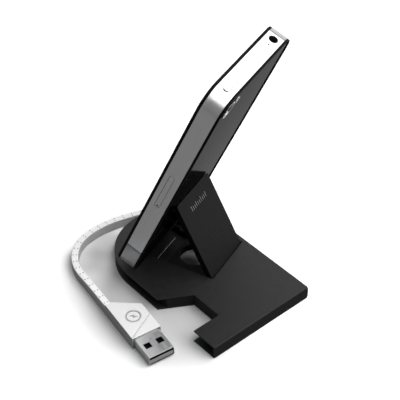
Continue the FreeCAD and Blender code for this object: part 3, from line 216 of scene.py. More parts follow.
# what each CAD node wears where it stays in view
wornBy = {
    "dockSatin": "top_sheet bottom_sheet", "dockCoreBlack": "base_core cable_gland", "wireRed": "dock_wires",
    "boardGreen": "dock_board logic_board", "flapSatin": "flap", "pinSteel": "flap_pin block_pin foot_screws",
    "blockBlack": "connector_block connector_insulator jack_barrel",
    "stampedSteel": "connector_shell dock_port sim_reader usb_shell",
    "contactGold": "connector_contacts port_contacts", "glassBlack": "front_glass back_glass",
    "bandSteel": "band_near band_far band_foot", "gapGrey": "band_gap_strips",
    "plateSteel": "mid_plate shield_cans vibration_motor", "panelBlack": "display_panel", "batteryFilm": "battery",
    "chipBlack": "logic_chips rear_camera front_camera home_switch key_switches", "lensRing": "camera_ring",
    "lensGlass": "camera_window", "flashLens": "flash_lamp", "speakerBlack": "earpiece speaker_box microphone_box",
    "meshBlack": "earpiece_mesh foot_grilles", "homeGloss": "home_button",
    "keySteel": "power_button volume_up_button volume_down_button mute_switch sim_tray", "cardWhite": "sim_card",
    "leadWhite": "charge_lead", "mouldWhite": "plug_mould", "emblemGrooveShade": "plug_emblem",
    "insulatorGrey": "usb_insulator", "shadowedGold": "usb_contacts",
}

for finish, nodeNames in wornBy.items():
    for nodeName in nodeNames.split():
        worn = frame["nodes"][nodeName].data.materials
        worn.clear()
        worn.append(finishes[finish])
print("finishes made")


# meshes are drawn in millimetres in the piece's own place

def arc(cx, cy, radius, fromDeg, toDeg, steps=14):
    angles = [math.radians(fromDeg + (toDeg - fromDeg) * i / steps) for i in range(steps + 1)]
    return [(cx + radius * math.cos(a), cy + radius * math.sin(a)) for a in angles]


def roundedLoop(left, right, low, high, radius, steps=14):
    corners = ((right, low, -90), (right, high, 0), (left, high, 90), (left, low, 180))
    points = []
    for x, y, start in corners:
        cx = x - radius if x == right else x + radius
        cy = y + radius if y == low else y - radius
        points += arc(cx, cy, radius, start, start + 90, steps)
    return points


def roundedAt(cx, cy, halfX, halfY, radius, steps):
    return roundedLoop(cx - halfX, cx + halfX, cy - halfY, cy + halfY, radius, steps)


def circle(cx, cy, radius, steps=48):
    return arc(cx, cy, radius, 0, 360 - 360 / steps, steps - 1)


def settledMesh(thing):
    return bpy.data.meshes.new_from_object(thing.evaluated_get(bpy.context.evaluated_depsgraph_get()))


def evenlyShaded(mesh):
    # large flat faces keep their own normal, and only the small rounds beside them blend
    holder = inScene("holder", mesh)
    step = holder.modifiers.new("even", "WEIGHTED_NORMAL")
    step.keep_sharp = True
    step.weight = 100
    shaded = settledMesh(holder)
    bpy.data.objects.remove(holder)
    return shaded


def addPiece(name, mesh, place, finish, body, replaced=(), smooth=35, second=None, where=None):
    # a list of meshes becomes one piece
    if isinstance(mesh, list):
        mesh = mergedMesh(name, mesh)
    mesh.materials.clear()
    mesh.materials.append(finishes[finish])
    if second:
        # faces that the test picks out wear the second finish
        mesh.materials.append(finishes[second])
        for face in mesh.polygons:
            face.material_index = int(where(face.center, face.normal))
    for corner in mesh.vertices:
        corner.co *= mm
    if smooth:
        mesh.shade_smooth()
        mesh.set_sharp_from_angle(angle=math.radians(smooth))
        mesh = evenlyShaded(mesh)
    piece = inScene(name, mesh)
    piece.matrix_world = place
    if replaced:
        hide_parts(*replaced)
    if body:
        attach(piece, body)
    return piece


def meshFrom(name, points, faces):
    mesh = bpy.data.meshes.new(name)
    mesh.from_pydata([tuple(point) for point in points], [], faces)
    tidyMesh(mesh)
    return mesh


def tidyMesh(mesh, weld=1e-4):
    work = bmesh.new()
    work.from_mesh(mesh)
    bmesh.ops.remove_doubles(work, verts=work.verts, dist=weld)
    bmesh.ops.dissolve_degenerate(work, edges=work.edges, dist=weld)
    bmesh.ops.recalc_face_normals(work, faces=work.faces)
    work.to_mesh(mesh)
    work.free()


def loftMesh(name, rings):
    # rings of as many points each, from end to end, with both ends closed
    count = len(rings[0])
    faces = [tuple(range(count))[::-1], tuple((len(rings) - 1) * count + i for i in range(count))]
    for row in range(0, (len(rings) - 1) * count, count):
        for i in range(count):
            j = (i + 1) % count
            faces.append((row + i, row + j, row + count + j, row + count + i))
    return meshFrom(name, [point for ring in rings for point in ring], faces)


def turnMesh(mesh, turn):
    mesh.transform(turn)
    return mesh


# drawn flat, then stood across the handset or along it
standUp = Matrix(((0, 0, 1, 0), (1, 0, 0, 0), (0, 1, 0, 0), (0, 0, 0, 1)))
standAside = Matrix(((1, 0, 0, 0), (0, 0, -1, 0), (0, 1, 0, 0), (0, 0, 0, 1)))


def meshOfCurve(curve):
    holder = bpy.data.objects.new(curve.name, curve)
    mesh = bpy.data.meshes.new_from_object(holder)
    bpy.data.objects.remove(holder)
    return mesh


def slabMesh(name, loops, low, high, edge, rounds=3):
    # the first loop is the outline and the others are holes; every edge gets the same small round
    curve = bpy.data.curves.new(name, "CURVE")
    curve.dimensions = "2D"
    curve.fill_mode = "BOTH"
    curve.extrude = (high - low) / 2 - edge
    curve.bevel_depth = edge
    curve.bevel_resolution = rounds
    curve.offset = -edge
    for loop in loops:
        spline = curve.splines.new("POLY")
        spline.points.add(len(loop) - 1)
        for point, (x, y) in zip(spline.points, loop):
            point.co = (x, y, 0, 1)
        spline.use_cyclic_u = True
    mesh = meshOfCurve(curve)
    mesh.transform(Matrix.Translation((0, 0, (low + high) / 2)))
    tidyMesh(mesh)
    return mesh


def carved(mesh, cutters, kind="DIFFERENCE"):
    host = inScene("host", mesh)
    tools = [inScene("tool", cutter) for cutter in cutters]
    for tool in tools:
        step = host.modifiers.new("carve", "BOOLEAN")
        step.operation = kind
        step.object = tool
        step.solver = "EXACT"
    result = settledMesh(host)
    for extra in [host] + tools:
        bpy.data.objects.remove(extra)
    tidyMesh(result)
    return result


def boxMesh(name, low, high, edge=0.0, rounds=2):
    work = bmesh.new()
    bmesh.ops.create_cube(work, size=1)
    middle = (Vector(low) + Vector(high)) / 2
    size = Vector(high) - Vector(low)
    for corner in work.verts:
        corner.co = Vector([middle[i] + corner.co[i] * size[i] for i in range(3)])
    if edge:
        bmesh.ops.bevel(work, geom=work.edges[:], offset=edge, segments=rounds, affect="EDGES", profile=0.5)
    mesh = bpy.data.meshes.new(name)
    work.to_mesh(mesh)
    work.free()
    return mesh


def turnedMesh(name, profile, axis="z", at=(0, 0, 0), steps=48, ring=False):
    # profile is (radius, height) from the foot to the top; a ring's profile closes on itself
    points, faces = [], []
    for radius, height in profile:
        points += [(radius * math.cos(a), radius * math.sin(a), height)
                   for a in (2 * math.pi * i / steps for i in range(steps))]
    for row in range(len(profile) if ring else len(profile) - 1):
        for i in range(steps):
            j = (i + 1) % steps
            a, b = row * steps, (row + 1) % len(profile) * steps
            faces.append((a + i, a + j, b + j, b + i))
    if profile[0][0] > 1e-6 and not ring:
        faces.append(tuple(range(steps))[::-1])
    if profile[-1][0] > 1e-6 and not ring:
        faces.append(tuple((len(profile) - 1) * steps + i for i in range(steps)))
    mesh = meshFrom(name, points, faces)
    turn = {"z": Matrix(), "x": standUp, "y": standUp @ standUp}[axis]
    mesh.transform(Matrix.Translation(at) @ turn)
    return mesh


def mergedMesh(name, meshes):
    work = bmesh.new()
    for mesh in meshes:
        work.from_mesh(mesh)
    mesh = bpy.data.meshes.new(name)
    work.to_mesh(mesh)
    work.free()
    return mesh


def movedLoop(loop, place):
    return [tuple((place @ Vector((x * mm, y * mm, 0)) / mm)[:2]) for x, y in loop]


card = dict(length=85.6, width=54.0, sheet=0.7, core=5.05, edge=0.22, notchEnd=29.7, notchDepth=13.75,
            notchFloor=15.9, notchMouth=24.2, fingerX=24.2, finger=7.0, slotX=(8.68, 9.12), slotHalf=9.0,
            recess=[(-0.52, -12.3), (0.33, -12.3), (0.33, -12.9), (40.43, -12.9), (40.43, 14.7), (0.33, 14.7),
                    (0.33, 12.3), (-0.52, 12.3)])


def cardOutline():
    half, end = card["width"] / 2, card["length"] / 2
    notchTop = card["notchDepth"] - half
    near = [(card["notchEnd"] - card["notchMouth"], -half), (card["notchEnd"] - card["notchFloor"], notchTop),
            (card["notchEnd"], notchTop), (card["notchEnd"], -half)]
    return arc(half - end, 0, half, 90, 270, 72) + near + roundedLoop(0, end, -half, half, 0.6, 4)[:10]


def makeSheets():
    top = card["sheet"] * 2 + card["core"]
    mesh = slabMesh("dockTopSheet", [cardOutline(), movedLoop(card["recess"], dockPlace)], top - card["sheet"], top,
                    card["edge"])
    addPiece("dockTopSheet", mesh, onTheCard, "dockSatin", "base", ["top_sheet"])
    slot = roundedLoop(*card["slotX"], -card["slotHalf"], card["slotHalf"], 0.21, 4)
    holes = [movedLoop(circle(card["fingerX"], 0, card["finger"], 64), dockPlace), movedLoop(slot, dockPlace)]
    mesh = slabMesh("dockBottomSheet", [cardOutline()] + holes, 0, card["sheet"], card["edge"])
    addPiece("dockBottomSheet", mesh, onTheCard, "dockSatin", "base", ["bottom_sheet"])


makeSheets()


def makeFlap():
    # stations run from the hinge barrel to the slanted free end
    half, reach, width = flapSize["thick"] / 2, flapSize["length"], flapSize["width"] / 2
    slant = flapSize["thick"] / math.tan(math.radians(90 - flapSize["angle"] + flapSize["tipTurn"]))
    edge, corner = flapSize["edge"], flapSize["corner"]
    stations = []
    for i in range(9):
        turn = math.radians(90 - 90 * i / 8)
        stations.append((-half * math.sin(turn), half * math.cos(turn), width))
    stations += [(reach * 0.25, half, width), (reach * 0.5, half, width), (reach * 0.75, half, width)]
    for i in range(9):
        turn = math.radians(90 * i / 8)
        stations.append((reach - corner + corner * math.sin(turn), half, width - corner + corner * math.cos(turn)))
    rings = []
    for x, tall, wide in stations:
        tall = max(tall, 0.02)
        radius = min(edge, tall * 0.95)
        ring = roundedAt(0, 0, wide, tall, radius, 4)
        reachShare = max(0, (x - reach * 0.75) / (reach * 0.25))
        rings.append([(x - slant * (half - z) / (2 * half) * reachShare, y + flapSize["aside"], z) for y, z in ring])
    rings.append([(x, y, z * 0.88) for x, y, z in rings[-1]])
    # the free end and the edges wear painted shade
    addPiece("propFlap", loftMesh("propFlap", rings), flapPlace, "flapSatin", "flap", ["flap"],
             second="flapRimShade", where=lambda centre, normal: centre.x > half and abs(normal.z) < 0.97)


makeFlap()


ticks = dict(along=(31.0, 33.6), shorter=0.8, first=-7.0, pitch=1.3, count=10, wide=0.2, proud=0.01)


def makeTicks():
    # a short printed scale near the flap's free end
    marks, face, half = [], flapSize["thick"] / 2, ticks["wide"] / 2
    start, longest = ticks["along"]
    for i in range(ticks["count"]):
        y = ticks["first"] + i * ticks["pitch"]
        stop = longest - (0 if i % 3 == 0 else ticks["shorter"])
        marks.append(boxMesh("tick", (start, y - half, face - 0.05), (stop, y + half, face + ticks["proud"])))
    addPiece("flapTicks", marks, flapPlace, "tickGrey", "flap", ())


makeTicks()
print("dock built")


def slabOutline(inset, steps=16):
    half, length = handset["width"] / 2 - inset, handset["length"]
    return roundedLoop(-half, half, inset, length - inset, handset["corner"] - inset, steps)


camera = dict(y=-21.3, z=108.0, ring=3.9, wall=0.7, flashY=-14.1, flash=1.5, flashBase=3.6, flashDeep=1.2)
front = dict(homeZ=9.7, homeHole=5.6, earZ=104.6, earHalf=5.7, earTall=0.85, earPitch=0.42, earHole=0.13,
             lensY=10.4, lens=1.4, displayLow=20.2, displayHigh=95.0, displayHalf=25.0)
band = dict(wall=1.6, gap=1.0, sideGap=17.0, topGap=21.6, edge=0.1, jackY=18.0, jack=2.05, jackDeep=14.4,
            jackEnd=13.6, micY=13.9, mic=0.4)
keys = dict(powerY=-17.1, powerHalf=4.9, powerTall=1.25, powerFrom=113.3, powerGap=0.02, proud=0.6, deep=2.3,
            radius=2.5, gap=0.15, flange=0.5, volumeUp=89.0, volumeDown=78.8, muteX=3.85, muteZ=99.4, muteTall=0.75,
            muteHalf=2.7, muteSlot=1.7, mark=0.12)
tray = dict(x=4.35, half=1.1, low=47.9, high=68.5, gap=0.15, face=1.4, deep=17.0, plateHalf=0.5, seatHalf=7.55,
            seatFrom=3.8, seatDeep=12.1, seatThick=0.76, seatRim=1.15, pinUp=1.15, pin=0.45)


def displayLoop(inset):
    half = front["displayHalf"] - inset
    return roundedLoop(-half, half, front["displayLow"] + inset, front["displayHigh"] - inset, 0.3, 3)


def makeGlass():
    trim, thick, glass = handset["trim"], handset["thick"], handset["glass"]
    edge = handset["inset"]
    earLoop = roundedAt(0, front["earZ"], front["earHalf"], front["earTall"], front["earTall"] - 0.01, 8)
    holes = {
        "front": [circle(0, front["homeZ"], front["homeHole"]), displayLoop(0),
                  circle(front["lensY"], front["earZ"], front["lens"]), earLoop],
        "back": [circle(camera["y"], camera["z"], camera["ring"]),
                 circle(camera["flashY"], camera["z"], camera["flash"])],
    }
    sunk = handset["sunk"]
    for side, low in (("front", 0), ("back", thick - glass)):
        slot = side + "_glass"
        start, stop = (low + 0.02, low + glass) if side == "front" else (low, low + glass - sunk)
        pane = slabMesh(side + "Glass", [slabOutline(edge + trim)] + holes[side], start, stop, 0.03)
        addPiece(side + "Glass", turnMesh(pane, standUp), handsetPlace, "glassBlack", "handset", [slot])
        lip = handset["lip"] if side == "front" else 0
        rim = slabMesh(side + "Trim", [slabOutline(edge), slabOutline(edge + trim)], low - lip, low + glass, 0.15)
        addPiece(side + "Trim", turnMesh(rim, standUp), handsetPlace, "trimBlack", "handset", [slot])
    display = slabMesh("displayPane", [displayLoop(0.02)], 0.01, glass, 0.03)
    addPiece("displayPane", turnMesh(display, standUp), handsetPlace, "displayGlass", "handset", ())
    lens = turnedMesh("frontLens", [(0, 0.2), (0.5, 0.16), (0.8, 0.1), (0.85, 0.2), (1.15, 0.2), (1.2, 0.02),
                                    (front["lens"], 0.05), (front["lens"], glass), (0, glass)], "x",
                      (0, front["lensY"], front["earZ"]), 32)
    addPiece("frontLens", lens, handsetPlace, "lensGlass", "handset", ())


makeGlass()


foot = dict(screwY=13.9, screw=0.85, screwLong=3.6, grilleY=20.6, grilleHalf=3.2, grilleTall=0.9, grillePitch=0.5,
            grilleHole=0.16, portWide=11.7, portTall=2.0, portCorner=0.9, portDeep=7.2, portWall=0.4, padPitch=1.3,
            padHalf=0.3, padThick=0.2)


def portLoop(inset):
    middle = handset["thick"] / 2
    tall, wide = foot["portTall"] - inset, foot["portWide"] - inset
    return roundedAt(middle, 0, tall, wide, foot["portCorner"] - inset, 6)


def grilleLoop(side, inset):
    middle = handset["thick"] / 2
    tall, wide = foot["grilleTall"] - inset, foot["grilleHalf"] - inset
    return roundedAt(middle, side * foot["grilleY"], tall, wide, tall - 0.01, 8)


def makeBand():
    thick, glass, half, length = handset["thick"], handset["glass"], handset["width"] / 2, handset["length"]
    middle = thick / 2
    ring = turnMesh(slabMesh("band", [slabOutline(0), slabOutline(band["wall"])], glass, thick - glass,
                             band["edge"]), standUp)
    jack, mic = ([(band[radius], length - 4), (band[radius], length + 2)] for radius in ("jack", "mic"))
    tall, long, y = keys["powerTall"] + keys["powerGap"], keys["powerHalf"] + keys["powerGap"], keys["powerY"]
    powerLoop = roundedAt(middle, y, tall, long, keys["powerTall"], 10)
    cutters = [turnedMesh("jack", jack, at=(middle, band["jackY"], 0)),
               turnedMesh("mic", mic, at=(middle, band["micY"], 0), steps=20),
               slabMesh("power", [powerLoop], length - 4, length + 2, 0.001, 0)]
    around = keys["radius"] + keys["gap"]
    for z in (keys["volumeUp"], keys["volumeDown"]):
        cutters.append(turnedMesh("key", [(around, half - 4), (around, half + 2)], "y", (middle, 0, z)))
    z, long, tall = keys["muteZ"], keys["muteHalf"] + keys["gap"], keys["muteSlot"]
    cutters.append(boxMesh("mute", (middle - tall, half - 4, z - long), (middle + tall, half + 2, z + long)))
    x, wide, gap = tray["x"], tray["half"] + tray["gap"], tray["gap"]
    trayLoop = roundedLoop(x - wide, x + wide, tray["low"] - gap, tray["high"] + gap, wide - 0.01, 10)
    cutters.append(turnMesh(slabMesh("tray", [trayLoop], half - 3, half + 2, 0.001, 0), standAside))
    cutters.append(slabMesh("port", [portLoop(0)], -2, 3, 0.001, 0))
    screw = [(foot["screw"], -2), (foot["screw"], 3)]
    for side in (-1, 1):
        cutters.append(turnedMesh("screw", screw, at=(middle, side * foot["screwY"], 0), steps=24))
        cutters.append(slabMesh("grille", [grilleLoop(side, 0)], -2, 3, 0.001, 0))
    opened = carved(ring, cutters)
    gap = band["gap"] / 2
    wide, tall = half + 1, length + 1
    low, high, left, right = band["sideGap"] - gap, band["sideGap"] + gap, band["topGap"] - gap, band["topGap"] + gap
    parts = {
        "bandNear": ("band_near", boxMesh("near", (0, -wide, high), (thick, left, tall))),
        "bandFar": ("band_far", boxMesh("far", (0, right, high), (thick, wide, tall))),
        "bandFoot": ("band_foot", boxMesh("foot", (0, -wide, -1), (thick, wide, low))),
    }
    for name, (node, region) in parts.items():
        mesh = carved(opened.copy(), [region], "INTERSECT")
        # the foot wears painted shade: a darker copy of the band steel
        finish = "shadedFootSteel" if name == "bandFoot" else "bandSteel"
        addPiece(name, mesh, handsetPlace, finish, "handset", [node], smooth=30)
    ring = turnMesh(slabMesh("strips", [slabOutline(0.03), slabOutline(band["wall"])], glass, thick - glass,
                             band["edge"]), standUp)
    regions = mergedMesh("regions", [boxMesh("sides", (0, -wide, low), (thick, wide, high)),
                                     boxMesh("top", (0, left, length - 5), (thick, right, tall))])
    addPiece("bandGaps", carved(ring, [regions], "INTERSECT"), handsetPlace, "gapGrey", "handset",
             ["band_gap_strips"], smooth=30)


makeBand()
print("handset shell built")


def makeCameras():
    deep, glass, z = handset["thick"], handset["glass"], camera["z"]
    seat, radius, hole = deep - glass, camera["ring"], camera["ring"] - camera["wall"]
    ring = [(hole, seat), (radius, seat), (radius, deep + 0.02), (radius - 0.08, deep + 0.1),
            (hole + 0.12, deep + 0.1), (hole, deep - 0.05)]
    addPiece("cameraRing", turnedMesh("cameraRing", ring, "x", (0, camera["y"], z), 64, ring=True), handsetPlace,
             "lensRing", "handset", ["camera_ring"])
    window = [(0, seat), (hole, seat), (hole, deep - 0.22), (hole - 0.1, deep - 0.2), (2.1, deep - 0.2),
              (2.0, deep - 0.5), (1.3, deep - 0.55), (1.2, deep - 0.68), (0.7, deep - 0.6), (0, deep - 0.55)]
    addPiece("cameraWindow", turnedMesh("cameraWindow", window, "x", (0, camera["y"], z), 64), handsetPlace,
             "lensGlass", "handset", ["camera_window"])
    flash = [(0, seat), (camera["flash"], seat), (camera["flash"], deep - 0.12), (camera["flash"] - 0.1, deep - 0.05)]
    for step in (1.1, 0.8, 0.5, 0.2):
        flash += [(step, deep - 0.05), (step - 0.05, deep - 0.15)]
    lamp = turnedMesh("flashLamp", flash + [(0, deep - 0.1)], "x", (0, camera["flashY"], z), 40)
    half = camera["flashBase"] / 2
    base = boxMesh("flashBase", (seat - camera["flashDeep"], camera["flashY"] - half, z - half),
                   (seat, camera["flashY"] + half, z + half), 0.1)
    addPiece("flashLamp", [lamp, base], handsetPlace, "flashLens", "handset", ["flash_lamp"])


makeCameras()


def makeTray():
    near, x = handset["width"] / 2, tray["x"]
    middle = (tray["low"] + tray["high"]) / 2
    outline = roundedLoop(x - tray["half"], x + tray["half"], tray["low"], tray["high"], tray["half"] - 0.01, 12)
    hole = circle(x, tray["low"] + tray["pinUp"], tray["pin"], 24)
    face = slabMesh("trayFace", [outline, hole], near - tray["face"], near, 0.07)
    plateLow, plateHigh = middle - tray["seatHalf"] - tray["seatRim"], middle + tray["seatHalf"] + tray["seatRim"]
    plate = boxMesh("trayPlate", (x - tray["plateHalf"], tray["face"] - near, plateLow),
                    (x + tray["plateHalf"], tray["deep"] - near, plateHigh), 0.1)
    top = x + tray["plateHalf"]
    seat = boxMesh("traySeat", (top - tray["seatThick"], tray["seatFrom"] - near, middle - tray["seatHalf"]),
                   (top + 1, tray["seatFrom"] + tray["seatDeep"] - near, middle + tray["seatHalf"]))
    addPiece("simTray", [turnMesh(face, standAside), carved(plate, [seat])], handsetPlace, "bandSteel", "sim_tray",
             ["sim_tray"], smooth=30)
    # a black disc in the pin hole, painted shade for the hole's deep part
    depth = turnedMesh("pinholeShade", [(0, 0.12 - near), (tray["pin"], 0.12 - near), (tray["pin"], 0.8 - near),
                                       (0, 0.8 - near)], "y", (x, 0, tray["low"] + tray["pinUp"]), 24)
    addPiece("pinholeShade", depth, handsetPlace, "trimBlack", "sim_tray", ())


makeTray()


def makeKeys():
    middle, half, top = handset["thick"] / 2, handset["width"] / 2, handset["length"] + keys["proud"]
    low, high = keys["powerY"] - keys["powerHalf"], keys["powerY"] + keys["powerHalf"]
    tall, start = keys["powerTall"], keys["powerFrom"]
    capLoop = roundedLoop(middle - tall, middle + tall, low, high, tall - 0.05, 10)
    lipLoop = roundedLoop(middle - 1.65, middle + 1.65, low, high + 0.5, 0.5, 4)
    cap = slabMesh("powerCap", [capLoop], start, top, 0.12, 4)
    lip = slabMesh("powerLip", [lipLoop], start - 0.5, start, 0.05)
    addPiece("powerKey", [cap, lip], handsetPlace, "keySteel", "power_button",
             ["power_button"])
    rise, foot = half + keys["proud"], half + keys["proud"] - keys["deep"]
    radius, mark, under = keys["radius"], keys["mark"], foot - keys["flange"]
    profile = [(0, under), (radius + 0.5, under), (radius + 0.5, foot), (radius, foot), (radius, rise - 0.28),
               (radius - 0.08, rise - 0.1), (radius - 0.3, rise), (0, rise)]
    for name, node, z in (("volumeUpKey", "volume_up_button", keys["volumeUp"]),
                          ("volumeDownKey", "volume_down_button", keys["volumeDown"])):
        bars = [boxMesh("bar", (middle - mark, rise - 0.15, z - 1.1), (middle + mark, rise + 1, z + 1.1))]
        if node == "volume_up_button":
            bars.append(boxMesh("bar", (middle - 1.1, rise - 0.15, z - mark), (middle + 1.1, rise + 1, z + mark)))
        key = carved(turnedMesh(name, profile, "y", (middle, 0, z), 56), bars)
        addPiece(name, key, handsetPlace, "keySteel", node, [node])
    x, z, tall, long = keys["muteX"], keys["muteZ"], keys["muteTall"], keys["muteHalf"]
    nub = boxMesh("muteNub", (x - tall, foot, z - long), (x + tall, rise, z + long), 0.22, 4)
    runner = boxMesh("muteRunner", (x - 1.45, under, z - 3.2), (x + 1.45, foot, z + 3.2), 0.05)
    ribs = [boxMesh("rib", (x - 2, rise - 0.12, z + step - 0.1), (x + 2, rise + 1, z + step + 0.1))
            for step in (-1.2, 0, 1.2)]
    addPiece("muteKey", [carved(nub, ribs), runner], handsetPlace, "keySteel", "mute_switch", ["mute_switch"])
    dish = [(0, 0.45), (2.0, 0.42), (3.6, 0.32), (4.8, 0.19), (5.25, 0.15), (5.4, 0.27), (5.4, 1.05), (6.2, 1.05),
            (6.2, 1.45), (0, 1.45)]
    addPiece("homeKey", turnedMesh("homeKey", dish, "x", (0, 0, front["homeZ"]), 72), handsetPlace, "homeGloss",
             "home_button", ["home_button"], smooth=40)


makeKeys()


def makeFootAndTop():
    middle, length, jack = handset["thick"] / 2, handset["length"], band["jack"]
    low, end = length - band["jackDeep"], length - band["jackEnd"]
    barrel = [(0, low), (jack, low), (jack, length - 0.08), (1.97, length), (1.83, length), (1.75, length - 0.1),
              (1.75, end), (0, end)]
    addPiece("jackBarrel", turnedMesh("jackBarrel", barrel, at=(middle, band["jackY"], 0), steps=40), handsetPlace,
             "blockBlack", "handset", ["jack_barrel"])
    deep, wall = foot["portDeep"], foot["portWall"]
    tube = slabMesh("portTube", [portLoop(0), portLoop(wall)], 0, deep, 0.05)
    end = slabMesh("portEnd", [portLoop(wall / 2)], deep - 0.6, deep - 0.05, 0.02)
    addPiece("dockPort", [tube, end], handsetPlace, "stampedSteel", "handset", ["dock_port"])
    low = middle - foot["portTall"] + wall
    pitch, wide, high = foot["padPitch"], foot["padHalf"], low + foot["padThick"]
    strips = [boxMesh("strip", (low, i * pitch - wide, 1.0), (high, i * pitch + wide, deep - 1.2), 0.06)
              for i in range(-7, 8)]
    addPiece("portContacts", strips, handsetPlace, "contactGold", "handset",
             ["port_contacts"])
    screws, screw, long = [], foot["screw"], foot["screwLong"]
    profile = [(0, 0.06), (0.6, 0.06), (0.78, 0.12), (0.84, 0.25), (screw, 0.4), (screw, long), (0, long)]
    for side in (-1, 1):
        y = side * foot["screwY"]
        shank = turnedMesh("screw", profile, at=(middle, y, 0), steps=32)
        cross = [boxMesh("slot", (middle - 0.55, y - 0.1, -1), (middle + 0.55, y + 0.1, 0.4)),
                 boxMesh("slot", (middle - 0.1, y - 0.55, -1), (middle + 0.1, y + 0.55, 0.4))]
        screws.append(carved(shank, cross))
    addPiece("footScrews", screws, handsetPlace, "pinSteel", "handset", ["foot_screws"])
    plates, pitch = [], foot["grillePitch"]
    for side in (-1, 1):
        holes = [circle(middle + row * pitch, side * foot["grilleY"] + column * pitch, foot["grilleHole"], 10)
                 for row in (-1, 0, 1) for column in range(-5, 6)]
        plates.append(slabMesh("grille", [grilleLoop(side, 0.02)] + holes, 0.25, 1.05, 0.02, 1))
    addPiece("footGrilles", plates, handsetPlace, "meshBlack", "handset", ["foot_grilles"])
    half, tall = front["earHalf"] - 0.8, front["earTall"] - 0.05
    pitch = front["earPitch"]
    holes = [circle(column * pitch, front["earZ"] + row * pitch, front["earHole"], 8)
             for row in (-1, 0, 1) for column in range(-10, 11)]
    outline = roundedAt(0, front["earZ"], half, tall, tall - 0.01, 8)
    mesh = slabMesh("earMesh", [outline] + holes, 0.35, handset["glass"], 0.02, 1)
    addPiece("earMesh", turnMesh(mesh, standUp), handsetPlace, "meshBlack", "handset", ["earpiece_mesh"])


makeFootAndTop()
print("handset details built")


block = dict(half=1.3, width=24.0, bore=0.7, pin=0.6, pinHalf=13.7, tongueWide=21.0, tongueThick=2.2, tongueLong=6.2,
             wall=0.3, pitch=1.3, pad=0.6, flapPinHalf=15.2)


def pinMesh(name, reach, aside=0.0):
    radius, ease = block["pin"], 0.12
    profile = [(radius - ease, -reach), (radius, ease - reach), (radius, reach - ease), (radius - ease, reach)]
    return turnedMesh(name, profile, "y", (0, aside, 0))


def makeConnector():
    top, half, wide = handset["foot"] - 0.2, block["half"], block["width"] / 2
    tip = top + block["tongueLong"]
    side = arc(0, 0, half, 180, 360, 24) + [(half, top), (-half, top)]
    mesh = turnMesh(slabMesh("hingeBlock", [side, circle(0, 0, block["bore"], 32)], -wide, wide, 0.2), standAside)
    addPiece("hingeBlock", mesh, blockPlace, "blockBlack", "connector", ["connector_block"])
    addPiece("hingePin", pinMesh("hingePin", block["pinHalf"]), blockPlace, "pinSteel", "base", ["block_pin"])
    addPiece("flapPin", pinMesh("flapPin", block["flapPinHalf"], flapSize["aside"]), flapPlace, "pinSteel", "base",
             ["flap_pin"])
    thick, across, wall = block["tongueThick"] / 2, block["tongueWide"] / 2, block["wall"]
    loops = [roundedAt(0, 0, thick, across, 0.8, 6), roundedAt(0, 0, thick - wall, across - wall, 0.5, 6)]
    tube = slabMesh("connectorTongue", loops, top, tip, 0.08)
    addPiece("connectorTongue", tube, blockPlace, "stampedSteel", "connector", ["connector_shell"])
    bar = boxMesh("tongueBar", (wall - thick, wall - across, top), (0, across - wall, tip - 0.6), 0.12)
    addPiece("tongueBar", bar, blockPlace, "blockBlack", "connector", ["connector_insulator"])
    pads = [boxMesh("pad", (0, i * block["pitch"] - block["pad"] / 2, top + 0.3),
                    (0.15, i * block["pitch"] + block["pad"] / 2, tip - 0.9), 0.05) for i in range(-7, 8)]
    addPiece("tonguePads", pads, blockPlace, "contactGold", "connector",
             ["connector_contacts"])


makeConnector()
print("connector built")


lead = dict(wide=3.1, tall=4.85, corner=0.45, dotPitch=4.4, dotPair=1.5, dot=0.27, firstDot=3.0)
leadRoute = [(-15.8, 25.2, 3.225), (-21.4, 25.2, 2.9), (-31.6, 20.4, 2.5), (-43.7, 9.8, 2.44), (-49.0, -4.0, 2.43),
             (-51.2, -18.0, 2.43), (-48.2, -31.4, 2.44), (-37.0, -40.6, 2.6), (-21.41, -42.19, 3.0),
             (-6.56, -44.28, 3.2)]


def leadLine():
    curve = bpy.data.curves.new("leadLine", "CURVE")
    curve.dimensions = "3D"
    curve.resolution_u = 16
    spline = curve.splines.new("NURBS")
    spline.points.add(len(leadRoute) - 1)
    for point, spot in zip(spline.points, leadRoute):
        point.co = (*spot, 1)
    spline.order_u = 3
    spline.use_endpoint_u = True
    return [corner.co.copy() for corner in meshOfCurve(curve).vertices]


def makeLead():
    line = leadLine()
    section = roundedAt(0, 0, lead["wide"] / 2, lead["tall"] / 2, lead["corner"], 4)
    rings = []
    for i, spot in enumerate(line):
        ahead = (line[min(i + 1, len(line) - 1)] - line[max(i - 1, 0)]).normalized()
        side = up.cross(ahead).normalized()
        rings.append([spot + side * x + up * y for x, y in section])
    piece = addPiece("chargeLead", loftMesh("chargeLead", rings), onTheCard, "leadWhite", "base", ["charge_lead"],
                     smooth=50)
    length = sum((b - a).length for a, b in zip(line, line[1:]))
    print("lead %.1f mm" % length)
    return piece, line, length


def makeDots(line):
    # pairs of fine stitch marks along the lead's upper edge
    marks, walked, wait = [], 0.0, lead["firstDot"]
    profile = [(lead["dot"], -0.05), (lead["dot"], 0.012), (0, 0.02)]
    for a, b in zip(line, line[1:]):
        step = (b - a).length
        while wait <= walked + step:
            spot = a + (b - a) * ((wait - walked) / step)
            side = up.cross((b - a).normalized())
            for sign in (-1, 1):
                at = spot + side * sign * lead["dotPair"] / 2 + up * lead["tall"] / 2
                marks.append(turnedMesh("dot", profile, at=at, steps=10))
            wait += lead["dotPitch"]
        walked += step
    return addPiece("leadDots", marks, onTheCard, "leadInk", "base", ())


leadPiece, leadPoints, leadLength = makeLead()
leadDots = makeDots(leadPoints)
print("lead laid")


